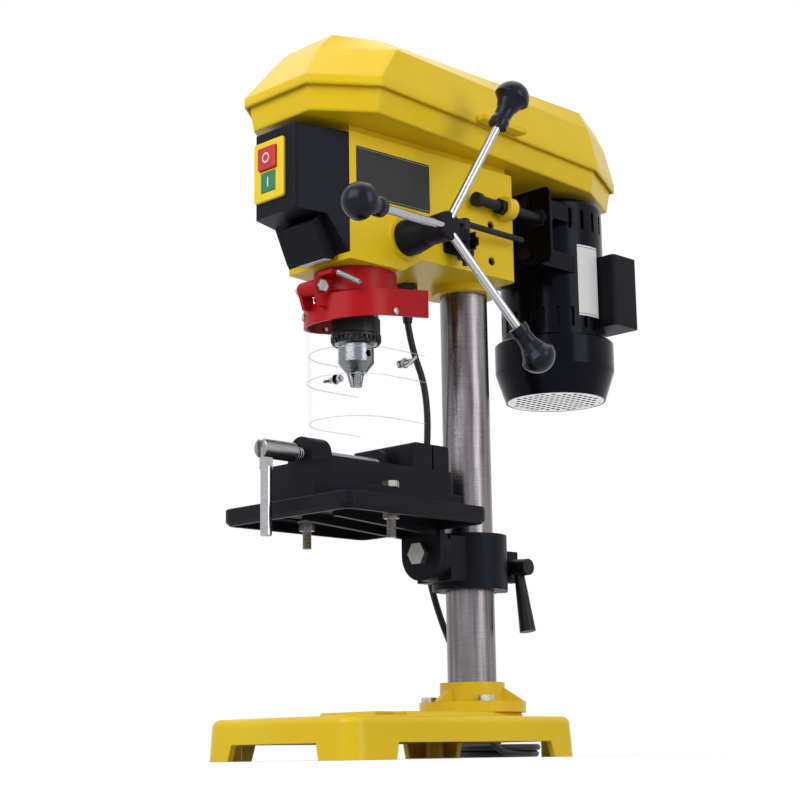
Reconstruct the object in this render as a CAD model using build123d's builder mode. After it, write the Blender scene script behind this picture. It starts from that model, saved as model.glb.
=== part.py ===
"""Bench drill press with a five-step belt drive, keyed chuck, swing-up chuck guard and a machine vise.

Millimetres, +Z up. The origin is the middle of the base's footprint on the bench, the operator
stands at -Y and the feed levers are on +X. Every sub-part is one section that ends by writing its STEP.
"""

from build123d import *
from math import asin, atan2, cos, degrees, hypot, pi, radians, sin, sqrt, tan
import os

os.makedirs("parts", exist_ok=True)

# ---------------------------------------------------------------- fits and clearances
RUNNING_FIT = 0.05      # radial clearance of a shaft or slide in its bore
SLACK_FIT = 0.15        # radial clearance of a loose guide
BODY_GAP = 0.3          # air between two bodies that move past each other

# ---------------------------------------------------------------- base, foot and column
BASE_WIDTH = 190.0
BASE_LENGTH = 290.0
BASE_HEIGHT = 36.0
BASE_CORNER = 20.0
BASE_DRAFT = 4.0        # degrees
BASE_WALL = 6.0
BASE_EDGE_ROUND = 7.0
ARCH_HEIGHT = 14.0
ARCH_SLOPE = 4.0        # how much wider an arch is at the bench than at its crown, each side
FRONT_ARCH_HALF = 54.0
SIDE_ARCH_FRONT = -88.0
SIDE_ARCH_REAR = 104.0
PAD_RISE = 5.0
HOLD_DOWN_RADIUS = 4.5
HOLD_DOWN_SPACING_X = 148.0
HOLD_DOWN_SPACING_Y = 254.0
HOLD_DOWN_BOSS_RADIUS = 9.0
BASE_SLOT_LENGTH = 80.0
BASE_SLOT_WIDTH = 14.0
BASE_SLOT_X = 42.0
BASE_SLOT_Y = -70.0

COLUMN_Y = 103.0
COLUMN_RADIUS = 23.0
COLUMN_WALL = 3.0
COLUMN_TOP = 545.0
FLANGE_RADIUS = 50.0
FLANGE_THICKNESS = 10.0
FOOT_BOSS_RADIUS = 30.5
FOOT_BOSS_HEIGHT = 28.0
FOOT_BOLT_CIRCLE = 42.0
FOOT_BOLT_RADIUS = 4.0
FOOT_RIB = 6.0

# ---------------------------------------------------------------- head casting
THROAT = 146.0          # column axis to spindle axis
SPINDLE_Y = COLUMN_Y - THROAT
HEAD_FRONT_Y = -88.0
HEAD_REAR_Y = 122.0
HEAD_FRONT_HALF = 41.0
HEAD_REAR_HALF = 54.0
HEAD_TOP = 558.0
HEAD_NECK_TOP = 566.0
HEAD_BELLY = 438.0      # underside around the quill
HEAD_TAIL = 451.0       # underside behind the quill
HEAD_WALL = 6.0
QUILL_BOSS_RADIUS = 29.0
QUILL_BOSS_BOTTOM = 411.0
COLUMN_BOSS_RADIUS = 31.0
COLUMN_BOSS_BOTTOM = 443.0
LUG_RADIUS = 11.0
LUG_LENGTH = 12.0
LUG_FRONT_Y = 97.0

# ---------------------------------------------------------------- quill, spindle and feed
QUILL_RADIUS = 16.0
QUILL_BOTTOM = 404.0
QUILL_LENGTH = 131.0
QUILL_TRAVEL = 50.0
RACK_MODULE = 1.25
PINION_TEETH = 12
RACK_PITCH_OFFSET = 14.0    # rack pitch line from the quill axis
RACK_ADDENDUM = 0.85        # stub rack teeth clear the small pinion's root
TOOTH_BACKLASH = 0.3
PRESSURE_ANGLE = 20.0
FEED_Z = 468.0
FEED_SHAFT_RADIUS = 8.95
SPINDLE_RADIUS = 6.0
BEARING_RADIUS = 14.0
BEARING_WIDTH = 10.0
SPLINE_RADIUS = 7.0
SPLINE_WIDTH = 2.6
SPLINE_COUNT = 6
SPINDLE_TOP = 628.0
HUB_ROOT_RADIUS = 17.0
HUB_END_RADIUS = 13.0
HUB_END_X = 102.0
LEVER_RADIUS = 4.0
LEVER_REACH = 121.0         # length of a lever rod out to its knob
LEVER_RAKE = 33.0           # how far outward a knob leans over LEVER_SWEEP
LEVER_SWEEP = 137.0
LEVER_ANGLES = (66.0, 186.0, 306.0)
KNOB_RADIUS = 16.5
KNOB_LENGTH = 48.0
KNOB_COLLAR_RADIUS = 9.0
KNOB_NECK_RADIUS = 7.8

# ---------------------------------------------------------------- chuck
CHUCK_TOP = 402.0
CHUCK_BODY_RADIUS = 20.0
CHUCK_NOSE_RADIUS = 16.5
CHUCK_NOSE_TIP_RADIUS = 9.5
CHUCK_NOSE_BOTTOM = 346.0
SLEEVE_RADIUS = 22.5
SLEEVE_TOP = 396.0
SLEEVE_BOTTOM = 372.0
SLEEVE_TEETH = 30
JAW_TIP = 333.0
JAW_ANGLE = 15.0
JAW_RADIUS = 3.2
JAW_TIP_OFFSET = 2.2
JAW_LENGTH = 34.0

# ---------------------------------------------------------------- belt drive and its case
MOTOR_Y = 239.0
STEP_RADII = (22.0, 28.0, 34.0, 40.0, 46.0)
STEP_PITCH = 12.0
PULLEY_BOTTOM = 572.0
GROOVE_WIDTH = 10.4
GROOVE_DEPTH = 6.3
GROOVE_HALF_ANGLE = 18.0
BELT_HEIGHT = 6.0
PULLEY_SLEEVE_RADIUS = 12.0
PULLEY_SLEEVE_BOTTOM = 546.0

TRAY_BOTTOM = 566.0
TRAY_TOP = 594.0
TRAY_WALL = 2.0
RIM_BOTTOM = 588.0
RIM_TOP = 597.0
LID_TIER = 632.0
LID_TOP = 650.0
LID_WALL = 1.8
# half width and Y of the corners from front to rear: rim, shoulder and crown of the lid
RIM_CORNERS = ((42.0, -141.0), (82.5, -86.0), (66.0, 238.0), (32.0, 309.0))
TIER_CORNERS = ((30.0, -115.0), (76.0, -60.0), (62.0, 230.0), (30.0, 297.0))
CROWN_CORNERS = ((30.0, -97.0), (50.0, -55.0), (56.0, 224.0), (27.0, 286.0))
TRAY_INSET = 3.5            # tray wall inside the lid rim at the top
TRAY_TAPER = 4.5            # further inset at the floor
HINGE_Z = 592.0
HINGE_OFFSET = 5.0
HINGE_SPREAD = 90.0
HINGE_PIN_RADIUS = 1.6
HINGE_KNUCKLE_RADIUS = 4.0

# ---------------------------------------------------------------- motor
MOTOR_RADIUS = 53.5
MOTOR_TOP = 560.0
MOTOR_BOTTOM = 392.0
MOTOR_SHAFT_RADIUS = 7.0
FAN_COVER_RADIUS = 61.0
FAN_COVER_TOP = 416.0
FAN_COVER_WAIST = 386.0
FAN_COVER_BOTTOM = 356.0
GRILLE_RADIUS = 51.0
FAN_COVER_WALL = 1.6
SLIDE_BAR_X = 60.0
SLIDE_BAR_Z = 520.0
SLIDE_BAR_RADIUS = 5.0
SLIDE_BAR_FRONT = 58.0
MOTOR_PLATE_Y = 153.0
MOTOR_PLATE_THICKNESS = 3.0
MOTOR_PLATE_HALF = 65.0
MOTOR_PLATE_BOTTOM = 476.0
MOTOR_PLATE_TOP = 552.0

# ---------------------------------------------------------------- switch box and lamp
SWITCH_FRONT_Y = -141.0
SWITCH_FRONT_HALF = 27.0
SWITCH_TOP = 556.0
SWITCH_FRAME_X = -5.5
SWITCH_FRAME_Z = 518.5
SWITCH_FRAME_SIZE = (40.0, 56.0)
SWITCH_FRAME_DEPTH = 6.0
BUTTON_TRAVEL = 3.0
STOP_SIZE = (23.0, 21.0)
START_SIZE = (19.0, 18.0)

# ---------------------------------------------------------------- chuck guard
GUARD_RADIUS = 48.0
GUARD_REAR_Y = SPINDLE_Y + 47.0
DRUM_WALL = 2.5
WINDOW_WALL = 1.5
GUARD_PIVOT_Y = SPINDLE_Y - 54.0
GUARD_PIVOT_Z = 416.0
COLLAR_RADIUS = 38.5
COLLAR_BOTTOM = 414.0
COLLAR_TOP = 437.0
WINDOW_BOTTOM = 336.0
SHIELD_BOTTOM = 298.0
SHIELD_TOP = 362.0
SHIELD_SLOT_BOTTOM = 316.0
THUMB_SCREW_Y = SPINDLE_Y + 17.0
THUMB_SCREW_Z = 350.0

# ---------------------------------------------------------------- table, bracket and clamp
BRACKET_BOTTOM = 155.0
BRACKET_TOP = 207.0
BRACKET_RING_RADIUS = 27.0
BRACKET_ARM_HALF = 22.0
TILT_Z = 186.0
TILT_Y = 44.0           # face where the table's disc meets the bracket's
TILT_DISC_RADIUS = 25.0
TILT_DISC_THICKNESS = 7.0
TILT_BOLT_RADIUS = 5.0
CLAMP_Y = 147.0
CLAMP_Z = 178.0
TABLE_HALF_WIDTH = 83.0
TABLE_FRONT_Y = -134.0
TABLE_REAR_Y = 43.0
TABLE_TOP = 221.0
TABLE_PLATE = 6.0
TABLE_RIM_DEPTH = 15.0
TABLE_RIM_WIDTH = 7.0
TABLE_RIM_BEVEL = 3.5
TABLE_CORNER = 12.0
TABLE_SLOT_X = 55.0
TABLE_SLOT_WIDTH = 11.0

# ---------------------------------------------------------------- vise
VISE_BASE_HALF = 60.0
VISE_FRONT_Y = -127.0
VISE_REAR_Y = 36.0
VISE_BASE_THICKNESS = 12.0
VISE_BODY_HALF = 42.0
VISE_BODY_TOP = 257.0
VISE_CHANNEL_HALF = 20.0
VISE_CHANNEL_FLOOR = 240.0
VISE_BOSS_RADIUS = 15.0
VISE_BOSS_FRONT = -112.0
VISE_BOSS_REAR = -88.0
VISE_SCREW_Z = 264.0
VISE_SCREW_RADIUS = 5.2
JAW_BLOCK_HALF = 39.0
MOVING_JAW_FRONT = -10.0
MOVING_JAW_LENGTH = 24.0
MOVING_JAW_TOP = 281.0
FIXED_JAW_FRONT = 16.0
FIXED_JAW_TOP = 281.0
VISE_BOLT_Y = -55.0
VISE_HEAD_FRONT = -158.0
VISE_HEAD_REAR = -121.0
VISE_HEAD_RADIUS = 8.5
HANDLE_Y = -151.0
HANDLE_RADIUS = 5.0
HANDLE_LENGTH = 76.0

# ---------------------------------------------------------------- leads
CORD_RADIUS = 3.2


def keep(builder, name):
    """Label a finished sub-part and write its STEP file."""
    builder.part.label = name
    export_step(builder.part, f"parts/{name}.step")


def hex_bolt(radius, length, across_flats, head_height):
    """Bolt along -Z with its head standing on z = 0."""
    with BuildPart() as bolt:
        with BuildSketch():
            RegularPolygon(radius=across_flats / 2, side_count=6, major_radius=False)
        extrude(amount=head_height)
        with BuildSketch():
            Circle(radius)
        extrude(amount=-length)
    return bolt.part


def socket_screw(radius, length, head_radius, head_height):
    """Round-headed screw along -Z with a hexagon socket in its head."""
    with BuildPart() as screw:
        Cylinder(head_radius, head_height, align=(Align.CENTER, Align.CENTER, Align.MIN))
        chamfer(screw.faces().sort_by(Axis.Z)[-1].edges(), head_height * 0.3)
        with BuildSketch(Plane.XY.offset(head_height)):
            RegularPolygon(radius=head_radius * 0.5, side_count=6)
        extrude(amount=-head_height * 0.5, mode=Mode.SUBTRACT)
        with BuildSketch():
            Circle(radius)
        extrude(amount=-length)
    return screw.part


def outline(corners):
    """Eight-sided plan, symmetric about the YZ plane, from four right-hand corners front to rear."""
    right = [(x, y) for x, y in corners]
    left = [(-x, y) for x, y in reversed(corners)]
    return right + left


def head_half_width(y):
    """Half width of the flared head casting at a given Y."""
    slope = (HEAD_REAR_HALF - HEAD_FRONT_HALF) / (HEAD_REAR_Y - HEAD_FRONT_Y)
    return HEAD_FRONT_HALF + slope * (y - HEAD_FRONT_Y)


HEAD_FLARE = degrees(atan2(HEAD_REAR_HALF - HEAD_FRONT_HALF, HEAD_REAR_Y - HEAD_FRONT_Y))


def side_plane(y, z):
    """Plane on the head's right flank: its x runs rearward, its y runs up, its z points outward."""
    lean = radians(HEAD_FLARE)
    return Plane(
        origin=(head_half_width(y), y, z),
        x_dir=(sin(lean), cos(lean), 0),
        z_dir=(cos(lean), -sin(lean), 0),
    )


def u_face(radius, rear_y):
    """Half-round-fronted U plan about the spindle axis, filled, reaching back to rear_y."""
    Circle(radius)
    with Locations((0, (rear_y - SPINDLE_Y) / 2)):
        Rectangle(2 * radius, rear_y - SPINDLE_Y)


# ================================================================ base
PAD_TOP = BASE_HEIGHT + PAD_RISE
with BuildPart() as base:
    with BuildSketch():
        RectangleRounded(BASE_WIDTH, BASE_LENGTH, BASE_CORNER)
    extrude(amount=BASE_HEIGHT, taper=BASE_DRAFT)
    # round swell that carries the rear of the column foot
    with BuildSketch():
        with Locations((0, COLUMN_Y)):
            Circle(FLANGE_RADIUS + 4)
    extrude(amount=BASE_HEIGHT, taper=BASE_DRAFT)
    top_face = base.faces().sort_by(Axis.Z)[-1]
    fillet(top_face.edges(), BASE_EDGE_ROUND)
    # raised pad: a land for the column foot that runs forward as the work surface
    with BuildSketch(Plane.XY.offset(BASE_HEIGHT)):
        with Locations((0, COLUMN_Y)):
            Circle(FLANGE_RADIUS - 2)
        with Locations((0, COLUMN_Y / 2 - 30)):
            Rectangle(2 * FLANGE_RADIUS - 4, COLUMN_Y + 60)
    extrude(amount=PAD_RISE, taper=30)
    # hollow underside
    with BuildSketch(Plane.XY):
        RectangleRounded(BASE_WIDTH - 2 * BASE_WALL, BASE_LENGTH - 2 * BASE_WALL, BASE_CORNER - BASE_WALL)
    extrude(amount=BASE_HEIGHT - BASE_WALL, taper=BASE_DRAFT, mode=Mode.SUBTRACT)
    # a boss round each hold-down hole stands on the bench, so that its screw can't bend the deck
    with BuildSketch():
        with GridLocations(HOLD_DOWN_SPACING_X, HOLD_DOWN_SPACING_Y, 2, 2):
            Circle(HOLD_DOWN_BOSS_RADIUS)
    extrude(amount=BASE_HEIGHT - BASE_WALL / 2)
    # arches that leave a foot at each corner
    with BuildSketch(Plane.XZ):
        Polygon(
            (-FRONT_ARCH_HALF - ARCH_SLOPE, -1),
            (FRONT_ARCH_HALF + ARCH_SLOPE, -1),
            (FRONT_ARCH_HALF, ARCH_HEIGHT),
            (-FRONT_ARCH_HALF, ARCH_HEIGHT),
            align=None,
        )
    extrude(amount=BASE_LENGTH, both=True, mode=Mode.SUBTRACT)
    with BuildSketch(Plane.YZ):
        Polygon(
            (SIDE_ARCH_FRONT - ARCH_SLOPE, -1),
            (SIDE_ARCH_REAR + ARCH_SLOPE, -1),
            (SIDE_ARCH_REAR, ARCH_HEIGHT),
            (SIDE_ARCH_FRONT, ARCH_HEIGHT),
            align=None,
        )
    extrude(amount=BASE_WIDTH, both=True, mode=Mode.SUBTRACT)
    # hold-down holes and the two clamping slots in the work surface
    with BuildSketch(Plane.XY.offset(BASE_HEIGHT + PAD_RISE)):
        with GridLocations(HOLD_DOWN_SPACING_X, HOLD_DOWN_SPACING_Y, 2, 2):
            Circle(HOLD_DOWN_RADIUS)
        with Locations((-BASE_SLOT_X, BASE_SLOT_Y), (BASE_SLOT_X, BASE_SLOT_Y)):
            SlotOverall(BASE_SLOT_LENGTH, BASE_SLOT_WIDTH, rotation=90)
    extrude(amount=-BASE_HEIGHT - PAD_RISE, mode=Mode.SUBTRACT)
keep(base, "base")

# ================================================================ column foot, its bolts, column
with BuildPart() as column_foot:
    with Locations((0, COLUMN_Y, PAD_TOP)):
        Cylinder(FLANGE_RADIUS, FLANGE_THICKNESS, align=(Align.CENTER, Align.CENTER, Align.MIN))
        Cylinder(FOOT_BOSS_RADIUS, FOOT_BOSS_HEIGHT, align=(Align.CENTER, Align.CENTER, Align.MIN))
    # three gussets between the bolts
    for angle in (30, 150, 270):
        gusset = Plane((0, COLUMN_Y, PAD_TOP), x_dir=(cos(radians(angle)), sin(radians(angle)), 0),
                       z_dir=(sin(radians(angle)), -cos(radians(angle)), 0))
        with BuildSketch(gusset):
            Polygon(
                (FOOT_BOSS_RADIUS - 3, FLANGE_THICKNESS - 1),
                (FLANGE_RADIUS - 2, FLANGE_THICKNESS - 1),
                (FLANGE_RADIUS - 2, FLANGE_THICKNESS + 1),
                (FOOT_BOSS_RADIUS - 3, FOOT_BOSS_HEIGHT - 3),
                align=None,
            )
        extrude(amount=FOOT_RIB / 2, both=True)
    with Locations((0, COLUMN_Y, PAD_TOP)):
        Cylinder(COLUMN_RADIUS + RUNNING_FIT, 2 * FOOT_BOSS_HEIGHT + 2, mode=Mode.SUBTRACT)
        with PolarLocations(FOOT_BOLT_CIRCLE, 3, start_angle=90):
            Cylinder(FOOT_BOLT_RADIUS + SLACK_FIT, 3 * FLANGE_THICKNESS, mode=Mode.SUBTRACT)
keep(column_foot, "column_foot")

foot_bolt = hex_bolt(FOOT_BOLT_RADIUS, FLANGE_THICKNESS, 13, 5.3)
with BuildPart() as foot_bolts:
    with Locations((0, COLUMN_Y, PAD_TOP + FLANGE_THICKNESS)):
        with PolarLocations(FOOT_BOLT_CIRCLE, 3, start_angle=90):
            add(foot_bolt)
keep(foot_bolts, "foot_bolts")

with BuildPart() as column:
    with BuildSketch(Plane.XY.offset(PAD_TOP)):
        with Locations((0, COLUMN_Y)):
            Circle(COLUMN_RADIUS)
            Circle(COLUMN_RADIUS - COLUMN_WALL, mode=Mode.SUBTRACT)
    extrude(amount=COLUMN_TOP - PAD_TOP)
keep(column, "column")

# ================================================================ head casting
BEARING_SEAT_Z = HEAD_TOP - 12.0
QUILL_TOP = QUILL_BOTTOM + QUILL_LENGTH
PINION_RADIUS = RACK_MODULE * PINION_TEETH / 2
FEED_Y = SPINDLE_Y + RACK_PITCH_OFFSET + PINION_RADIUS
FEED_BOSS_X = 47.0
LOCK_SCREW_RADIUS = 4.0
LOCK_SCREW_HEIGHTS = (466.0, 502.0)
LOCK_DIRECTION = (cos(radians(-16)), sin(radians(-16)), 0)
CASE_SCREWS = [
    (side * (head_half_width(y) - 9), y) for side in (-1, 1) for y in (-66.0, 60.0)
]
feed_axis_right = Plane(origin=(0, FEED_Y, FEED_Z), x_dir=(0, 1, 0), z_dir=(1, 0, 0))
with BuildPart() as head_casting:
    with BuildSketch(Plane.XY.offset(HEAD_BELLY - 20)):
        Polygon(
            (HEAD_FRONT_HALF, HEAD_FRONT_Y),
            (HEAD_REAR_HALF, HEAD_REAR_Y),
            (-HEAD_REAR_HALF, HEAD_REAR_Y),
            (-HEAD_FRONT_HALF, HEAD_FRONT_Y),
            align=None,
        )
    extrude(amount=HEAD_TOP - HEAD_BELLY + 20)
    upright = head_casting.edges().filter_by(Axis.Z)
    fillet(upright.group_by(Axis.Y)[-1], 6)
    # side profile: deep belly around the quill, shallower tail over the column
    with BuildSketch(Plane.YZ):
        Polygon(
            (HEAD_FRONT_Y - 5, HEAD_BELLY),
            (-25, HEAD_BELLY - 1),
            (-2, HEAD_TAIL),
            (HEAD_REAR_Y + 5, HEAD_TAIL),
            (HEAD_REAR_Y + 5, HEAD_TOP),
            (HEAD_FRONT_Y - 5, HEAD_TOP),
            align=None,
        )
    extrude(amount=HEAD_REAR_HALF + 5, both=True, mode=Mode.INTERSECT)
    # neck under the belt case
    with BuildSketch(Plane.XY.offset(HEAD_TOP)):
        Polygon(
            (HEAD_FRONT_HALF - 6, HEAD_FRONT_Y + 6),
            (HEAD_REAR_HALF - 7, HEAD_REAR_Y - 6),
            (-HEAD_REAR_HALF + 7, HEAD_REAR_Y - 6),
            (-HEAD_FRONT_HALF + 6, HEAD_FRONT_Y + 6),
            align=None,
        )
    extrude(amount=HEAD_NECK_TOP - HEAD_TOP)
    # core
    with BuildSketch(Plane.XY.offset(HEAD_TAIL + HEAD_WALL)):
        Polygon(
            (HEAD_FRONT_HALF - 2 * HEAD_WALL, HEAD_FRONT_Y + 2 * HEAD_WALL),
            (HEAD_REAR_HALF - 2 * HEAD_WALL, HEAD_REAR_Y - 2 * HEAD_WALL),
            (-HEAD_REAR_HALF + 2 * HEAD_WALL, HEAD_REAR_Y - 2 * HEAD_WALL),
            (-HEAD_FRONT_HALF + 2 * HEAD_WALL, HEAD_FRONT_Y + 2 * HEAD_WALL),
            align=None,
        )
    extrude(amount=HEAD_NECK_TOP - HEAD_TAIL, mode=Mode.SUBTRACT)
    # quill barrel with the nose that carries the guard, and the column socket
    with BuildSketch(Plane.XY.offset(QUILL_BOSS_BOTTOM)):
        with Locations((0, SPINDLE_Y)):
            Circle(QUILL_BOSS_RADIUS)
    extrude(amount=HEAD_TOP - QUILL_BOSS_BOTTOM)
    with BuildSketch(Plane.XY.offset(COLUMN_BOSS_BOTTOM)):
        with Locations((0, COLUMN_Y)):
            Circle(COLUMN_BOSS_RADIUS)
    extrude(amount=HEAD_TOP - COLUMN_BOSS_BOTTOM)
    # cross barrel for the feed shaft, with a flat boss on each flank
    with BuildSketch(feed_axis_right.offset(-FEED_BOSS_X)):
        Circle(21)
    extrude(amount=2 * FEED_BOSS_X)
    # flats beside the lugs for their nuts
    for side in (-1, 1):
        with BuildSketch(Plane.XZ.offset(-LUG_FRONT_Y + 8)):
            with Locations((side * SLIDE_BAR_X, SLIDE_BAR_Z)):
                Circle(9)
        extrude(amount=-40, mode=Mode.SUBTRACT)
    # lugs for the motor's slide bars
    for side in (-1, 1):
        with BuildSketch(Plane.XZ.offset(-LUG_FRONT_Y)):
            with Locations((side * SLIDE_BAR_X, SLIDE_BAR_Z)):
                Circle(LUG_RADIUS)
            with Locations((side * (SLIDE_BAR_X - LUG_RADIUS), SLIDE_BAR_Z)):
                Rectangle(2 * LUG_RADIUS, 2 * LUG_RADIUS)
        extrude(amount=-LUG_LENGTH)
    # bores
    with Locations((0, SPINDLE_Y, QUILL_BOSS_BOTTOM - 1)):
        Cylinder(QUILL_RADIUS + RUNNING_FIT, BEARING_SEAT_Z - QUILL_BOSS_BOTTOM - 4,
                 align=(Align.CENTER, Align.CENTER, Align.MIN), mode=Mode.SUBTRACT)
        Cylinder(PULLEY_SLEEVE_RADIUS + RUNNING_FIT, 200,
                 align=(Align.CENTER, Align.CENTER, Align.MIN), mode=Mode.SUBTRACT)
    with Locations((0, COLUMN_Y, COLUMN_BOSS_BOTTOM - 1)):
        Cylinder(COLUMN_RADIUS + RUNNING_FIT, COLUMN_TOP + 2 - COLUMN_BOSS_BOTTOM,
                 align=(Align.CENTER, Align.CENTER, Align.MIN), mode=Mode.SUBTRACT)
    with BuildSketch(feed_axis_right.offset(-FEED_BOSS_X - 1)):
        Circle(FEED_SHAFT_RADIUS + RUNNING_FIT)
    extrude(amount=2 * FEED_BOSS_X + 2, mode=Mode.SUBTRACT)
    for side in (-1, 1):
        with BuildSketch(Plane.XZ.offset(-LUG_FRONT_Y + 5)):
            with Locations((side * SLIDE_BAR_X, SLIDE_BAR_Z)):
                Circle(SLIDE_BAR_RADIUS + RUNNING_FIT)
        extrude(amount=-LUG_LENGTH - 10, mode=Mode.SUBTRACT)
    # tapped holes for the two screws that lock the head to the column
    for height in LOCK_SCREW_HEIGHTS:
        with BuildSketch(Plane(origin=(0, COLUMN_Y, height), z_dir=LOCK_DIRECTION).offset(COLUMN_RADIUS)):
            Circle(LOCK_SCREW_RADIUS + 0.05)
        extrude(amount=45, mode=Mode.SUBTRACT)
    # tapped holes for the screws that hold the belt case
    for x, y in CASE_SCREWS:
        with Locations((x, y, HEAD_NECK_TOP)):
            Cylinder(2.0, 20, mode=Mode.SUBTRACT)
keep(head_casting, "head_casting")

# set screws, slide-bar nuts and belt-case screws
with BuildPart() as head_screws:
    for height in LOCK_SCREW_HEIGHTS:
        lock = Plane(origin=(0, COLUMN_Y, height), z_dir=LOCK_DIRECTION)
        with BuildSketch(lock.offset(COLUMN_RADIUS + 0.02)):
            Circle(LOCK_SCREW_RADIUS)
        extrude(amount=27)
        with BuildSketch(lock.offset(COLUMN_RADIUS + 24)):
            RegularPolygon(radius=2.5, side_count=6)
        extrude(amount=10, mode=Mode.SUBTRACT)
    for side in (-1, 1):
        for face_y, reach in ((LUG_FRONT_Y, -6), (LUG_FRONT_Y + LUG_LENGTH, 6)):
            with BuildSketch(Plane(origin=(side * SLIDE_BAR_X, face_y, SLIDE_BAR_Z), z_dir=(0, 1, 0))):
                RegularPolygon(radius=7, side_count=6, major_radius=False)
                Circle(SLIDE_BAR_RADIUS + RUNNING_FIT, mode=Mode.SUBTRACT)
            extrude(amount=reach)
    for x, y in CASE_SCREWS:
        with Locations((x, y, TRAY_BOTTOM + TRAY_WALL)):
            add(socket_screw(1.95, 10, 3.5, 2.4))
keep(head_screws, "head_screws")

# ================================================================ belt case: tray and hinged lid
with BuildPart() as belt_case_tray:
    with BuildSketch(Plane.XY.offset(TRAY_BOTTOM)):
        Polygon(*outline(RIM_CORNERS), align=None)
        offset(amount=-TRAY_INSET - TRAY_TAPER, kind=Kind.INTERSECTION)
    with BuildSketch(Plane.XY.offset(TRAY_TOP)):
        Polygon(*outline(RIM_CORNERS), align=None)
        offset(amount=-TRAY_INSET, kind=Kind.INTERSECTION)
    loft()
    with BuildSketch(Plane.XY.offset(TRAY_BOTTOM + TRAY_WALL)):
        Polygon(*outline(RIM_CORNERS), align=None)
        offset(amount=-TRAY_INSET - TRAY_TAPER - TRAY_WALL, kind=Kind.INTERSECTION)
    with BuildSketch(Plane.XY.offset(TRAY_TOP + TRAY_WALL)):
        Polygon(*outline(RIM_CORNERS), align=None)
        offset(amount=-TRAY_INSET - TRAY_WALL, kind=Kind.INTERSECTION)
    loft(mode=Mode.SUBTRACT)
    # passages for the spindle pulley's hub, the sliding motor shaft and the case screws
    with BuildSketch(Plane.XY.offset(TRAY_BOTTOM - 1)):
        with Locations((0, SPINDLE_Y)):
            Circle(25)
        with Locations((0, MOTOR_Y - 4)):
            SlotOverall(56, 48, rotation=90)
        with Locations(*CASE_SCREWS):
            Circle(2.0)
    extrude(amount=TRAY_WALL + 2, mode=Mode.SUBTRACT)

(corner_a, corner_b) = RIM_CORNERS[1], RIM_CORNERS[2]
hinge_run = hypot(corner_b[0] - corner_a[0], corner_b[1] - corner_a[1])
HINGE_AXIS = ((corner_a[0] - corner_b[0]) / hinge_run, (corner_b[1] - corner_a[1]) / hinge_run, 0)
HINGE_OUT = (-HINGE_AXIS[1], HINGE_AXIS[0], 0)
HINGE_CENTRE = (
    -(corner_a[0] + corner_b[0]) / 2 + HINGE_OUT[0] * HINGE_OFFSET,
    (corner_a[1] + corner_b[1]) / 2 + HINGE_OUT[1] * HINGE_OFFSET,
    HINGE_Z,
)
# section plane across the hinge: x points inward over the case, y points up
hinge_section = Plane(
    origin=HINGE_CENTRE,
    x_dir=(-HINGE_OUT[0], -HINGE_OUT[1], 0),
    z_dir=(-HINGE_AXIS[0], -HINGE_AXIS[1], 0),
)
print("lid hinge axis", HINGE_AXIS, "through", HINGE_CENTRE)

with belt_case_tray:
    for spot in (-HINGE_SPREAD, HINGE_SPREAD):
        for ear in (-10.0, 10.0):
            with BuildSketch(hinge_section.offset(spot + ear - 2)):
                Circle(HINGE_KNUCKLE_RADIUS + 0.3)
                Polygon((-4.3, -9), (4.3, -9), (4.3, 0), (-4.3, 0), align=None)
                Polygon((-4.3, -9), (10.5, -9), (10.5, -5), (-4.3, -5), align=None)
            extrude(amount=4)
        with BuildSketch(hinge_section.offset(spot - 12)):
            Circle(HINGE_PIN_RADIUS)
        extrude(amount=24)
keep(belt_case_tray, "belt_case_tray")


def lid_sections(inset):
    """The lid's four outlines, bottom to top, pulled in by inset."""
    levels = (
        (RIM_BOTTOM, RIM_CORNERS),
        (RIM_TOP, RIM_CORNERS),
        (LID_TIER, TIER_CORNERS),
        (LID_TOP, CROWN_CORNERS),
    )
    for z, corners in levels:
        with BuildSketch(Plane.XY.offset(z - (inset if z > RIM_TOP else 0))) as section:
            Polygon(*outline(corners), align=None)
            if inset:
                offset(amount=-inset, kind=Kind.INTERSECTION)
        yield section.sketch


def lid_body(inset):
    """Closed body through the lid's outlines."""
    rings = list(lid_sections(inset))
    pieces = [Solid.make_loft([a.faces()[0].outer_wire(), b.faces()[0].outer_wire()], True)
              for a, b in zip(rings[:-1], rings[1:])]
    return pieces


with BuildPart() as belt_case_lid:
    for piece in lid_body(0):
        add(piece)
    for piece in lid_body(LID_WALL):
        add(piece, mode=Mode.SUBTRACT)
    # knuckles that turn on the tray's pins
    for spot in (-HINGE_SPREAD, HINGE_SPREAD):
        with BuildSketch(hinge_section.offset(spot - 7.6)):
            Circle(HINGE_KNUCKLE_RADIUS)
            Polygon((0, -3), (HINGE_OFFSET + 1, -3), (HINGE_OFFSET + 1, 3), (0, 3), align=None)
            Circle(HINGE_PIN_RADIUS + RUNNING_FIT, mode=Mode.SUBTRACT)
        extrude(amount=15.2)
    # finger lip on the free side
    with Locations(Location((-HINGE_CENTRE[0] + 1.0, 76, RIM_BOTTOM + 4.5))):
        Box(10, 60, 5)
keep(belt_case_lid, "belt_case_lid")


# ================================================================ pulleys and belt
def pulley_profile(radii):
    """Stepped V-pulley profile, bottom to top, as (radius, z) points."""
    points = []
    shoulder = (STEP_PITCH - GROOVE_WIDTH) / 2
    slope = GROOVE_DEPTH * tan(radians(GROOVE_HALF_ANGLE))
    for number, radius in enumerate(radii):
        z = PULLEY_BOTTOM + number * STEP_PITCH
        points += [
            (radius, z),
            (radius, z + shoulder),
            (radius - GROOVE_DEPTH, z + shoulder + slope),
            (radius - GROOVE_DEPTH, z + STEP_PITCH - shoulder - slope),
            (radius, z + STEP_PITCH - shoulder),
            (radius, z + STEP_PITCH),
        ]
    return points


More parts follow.
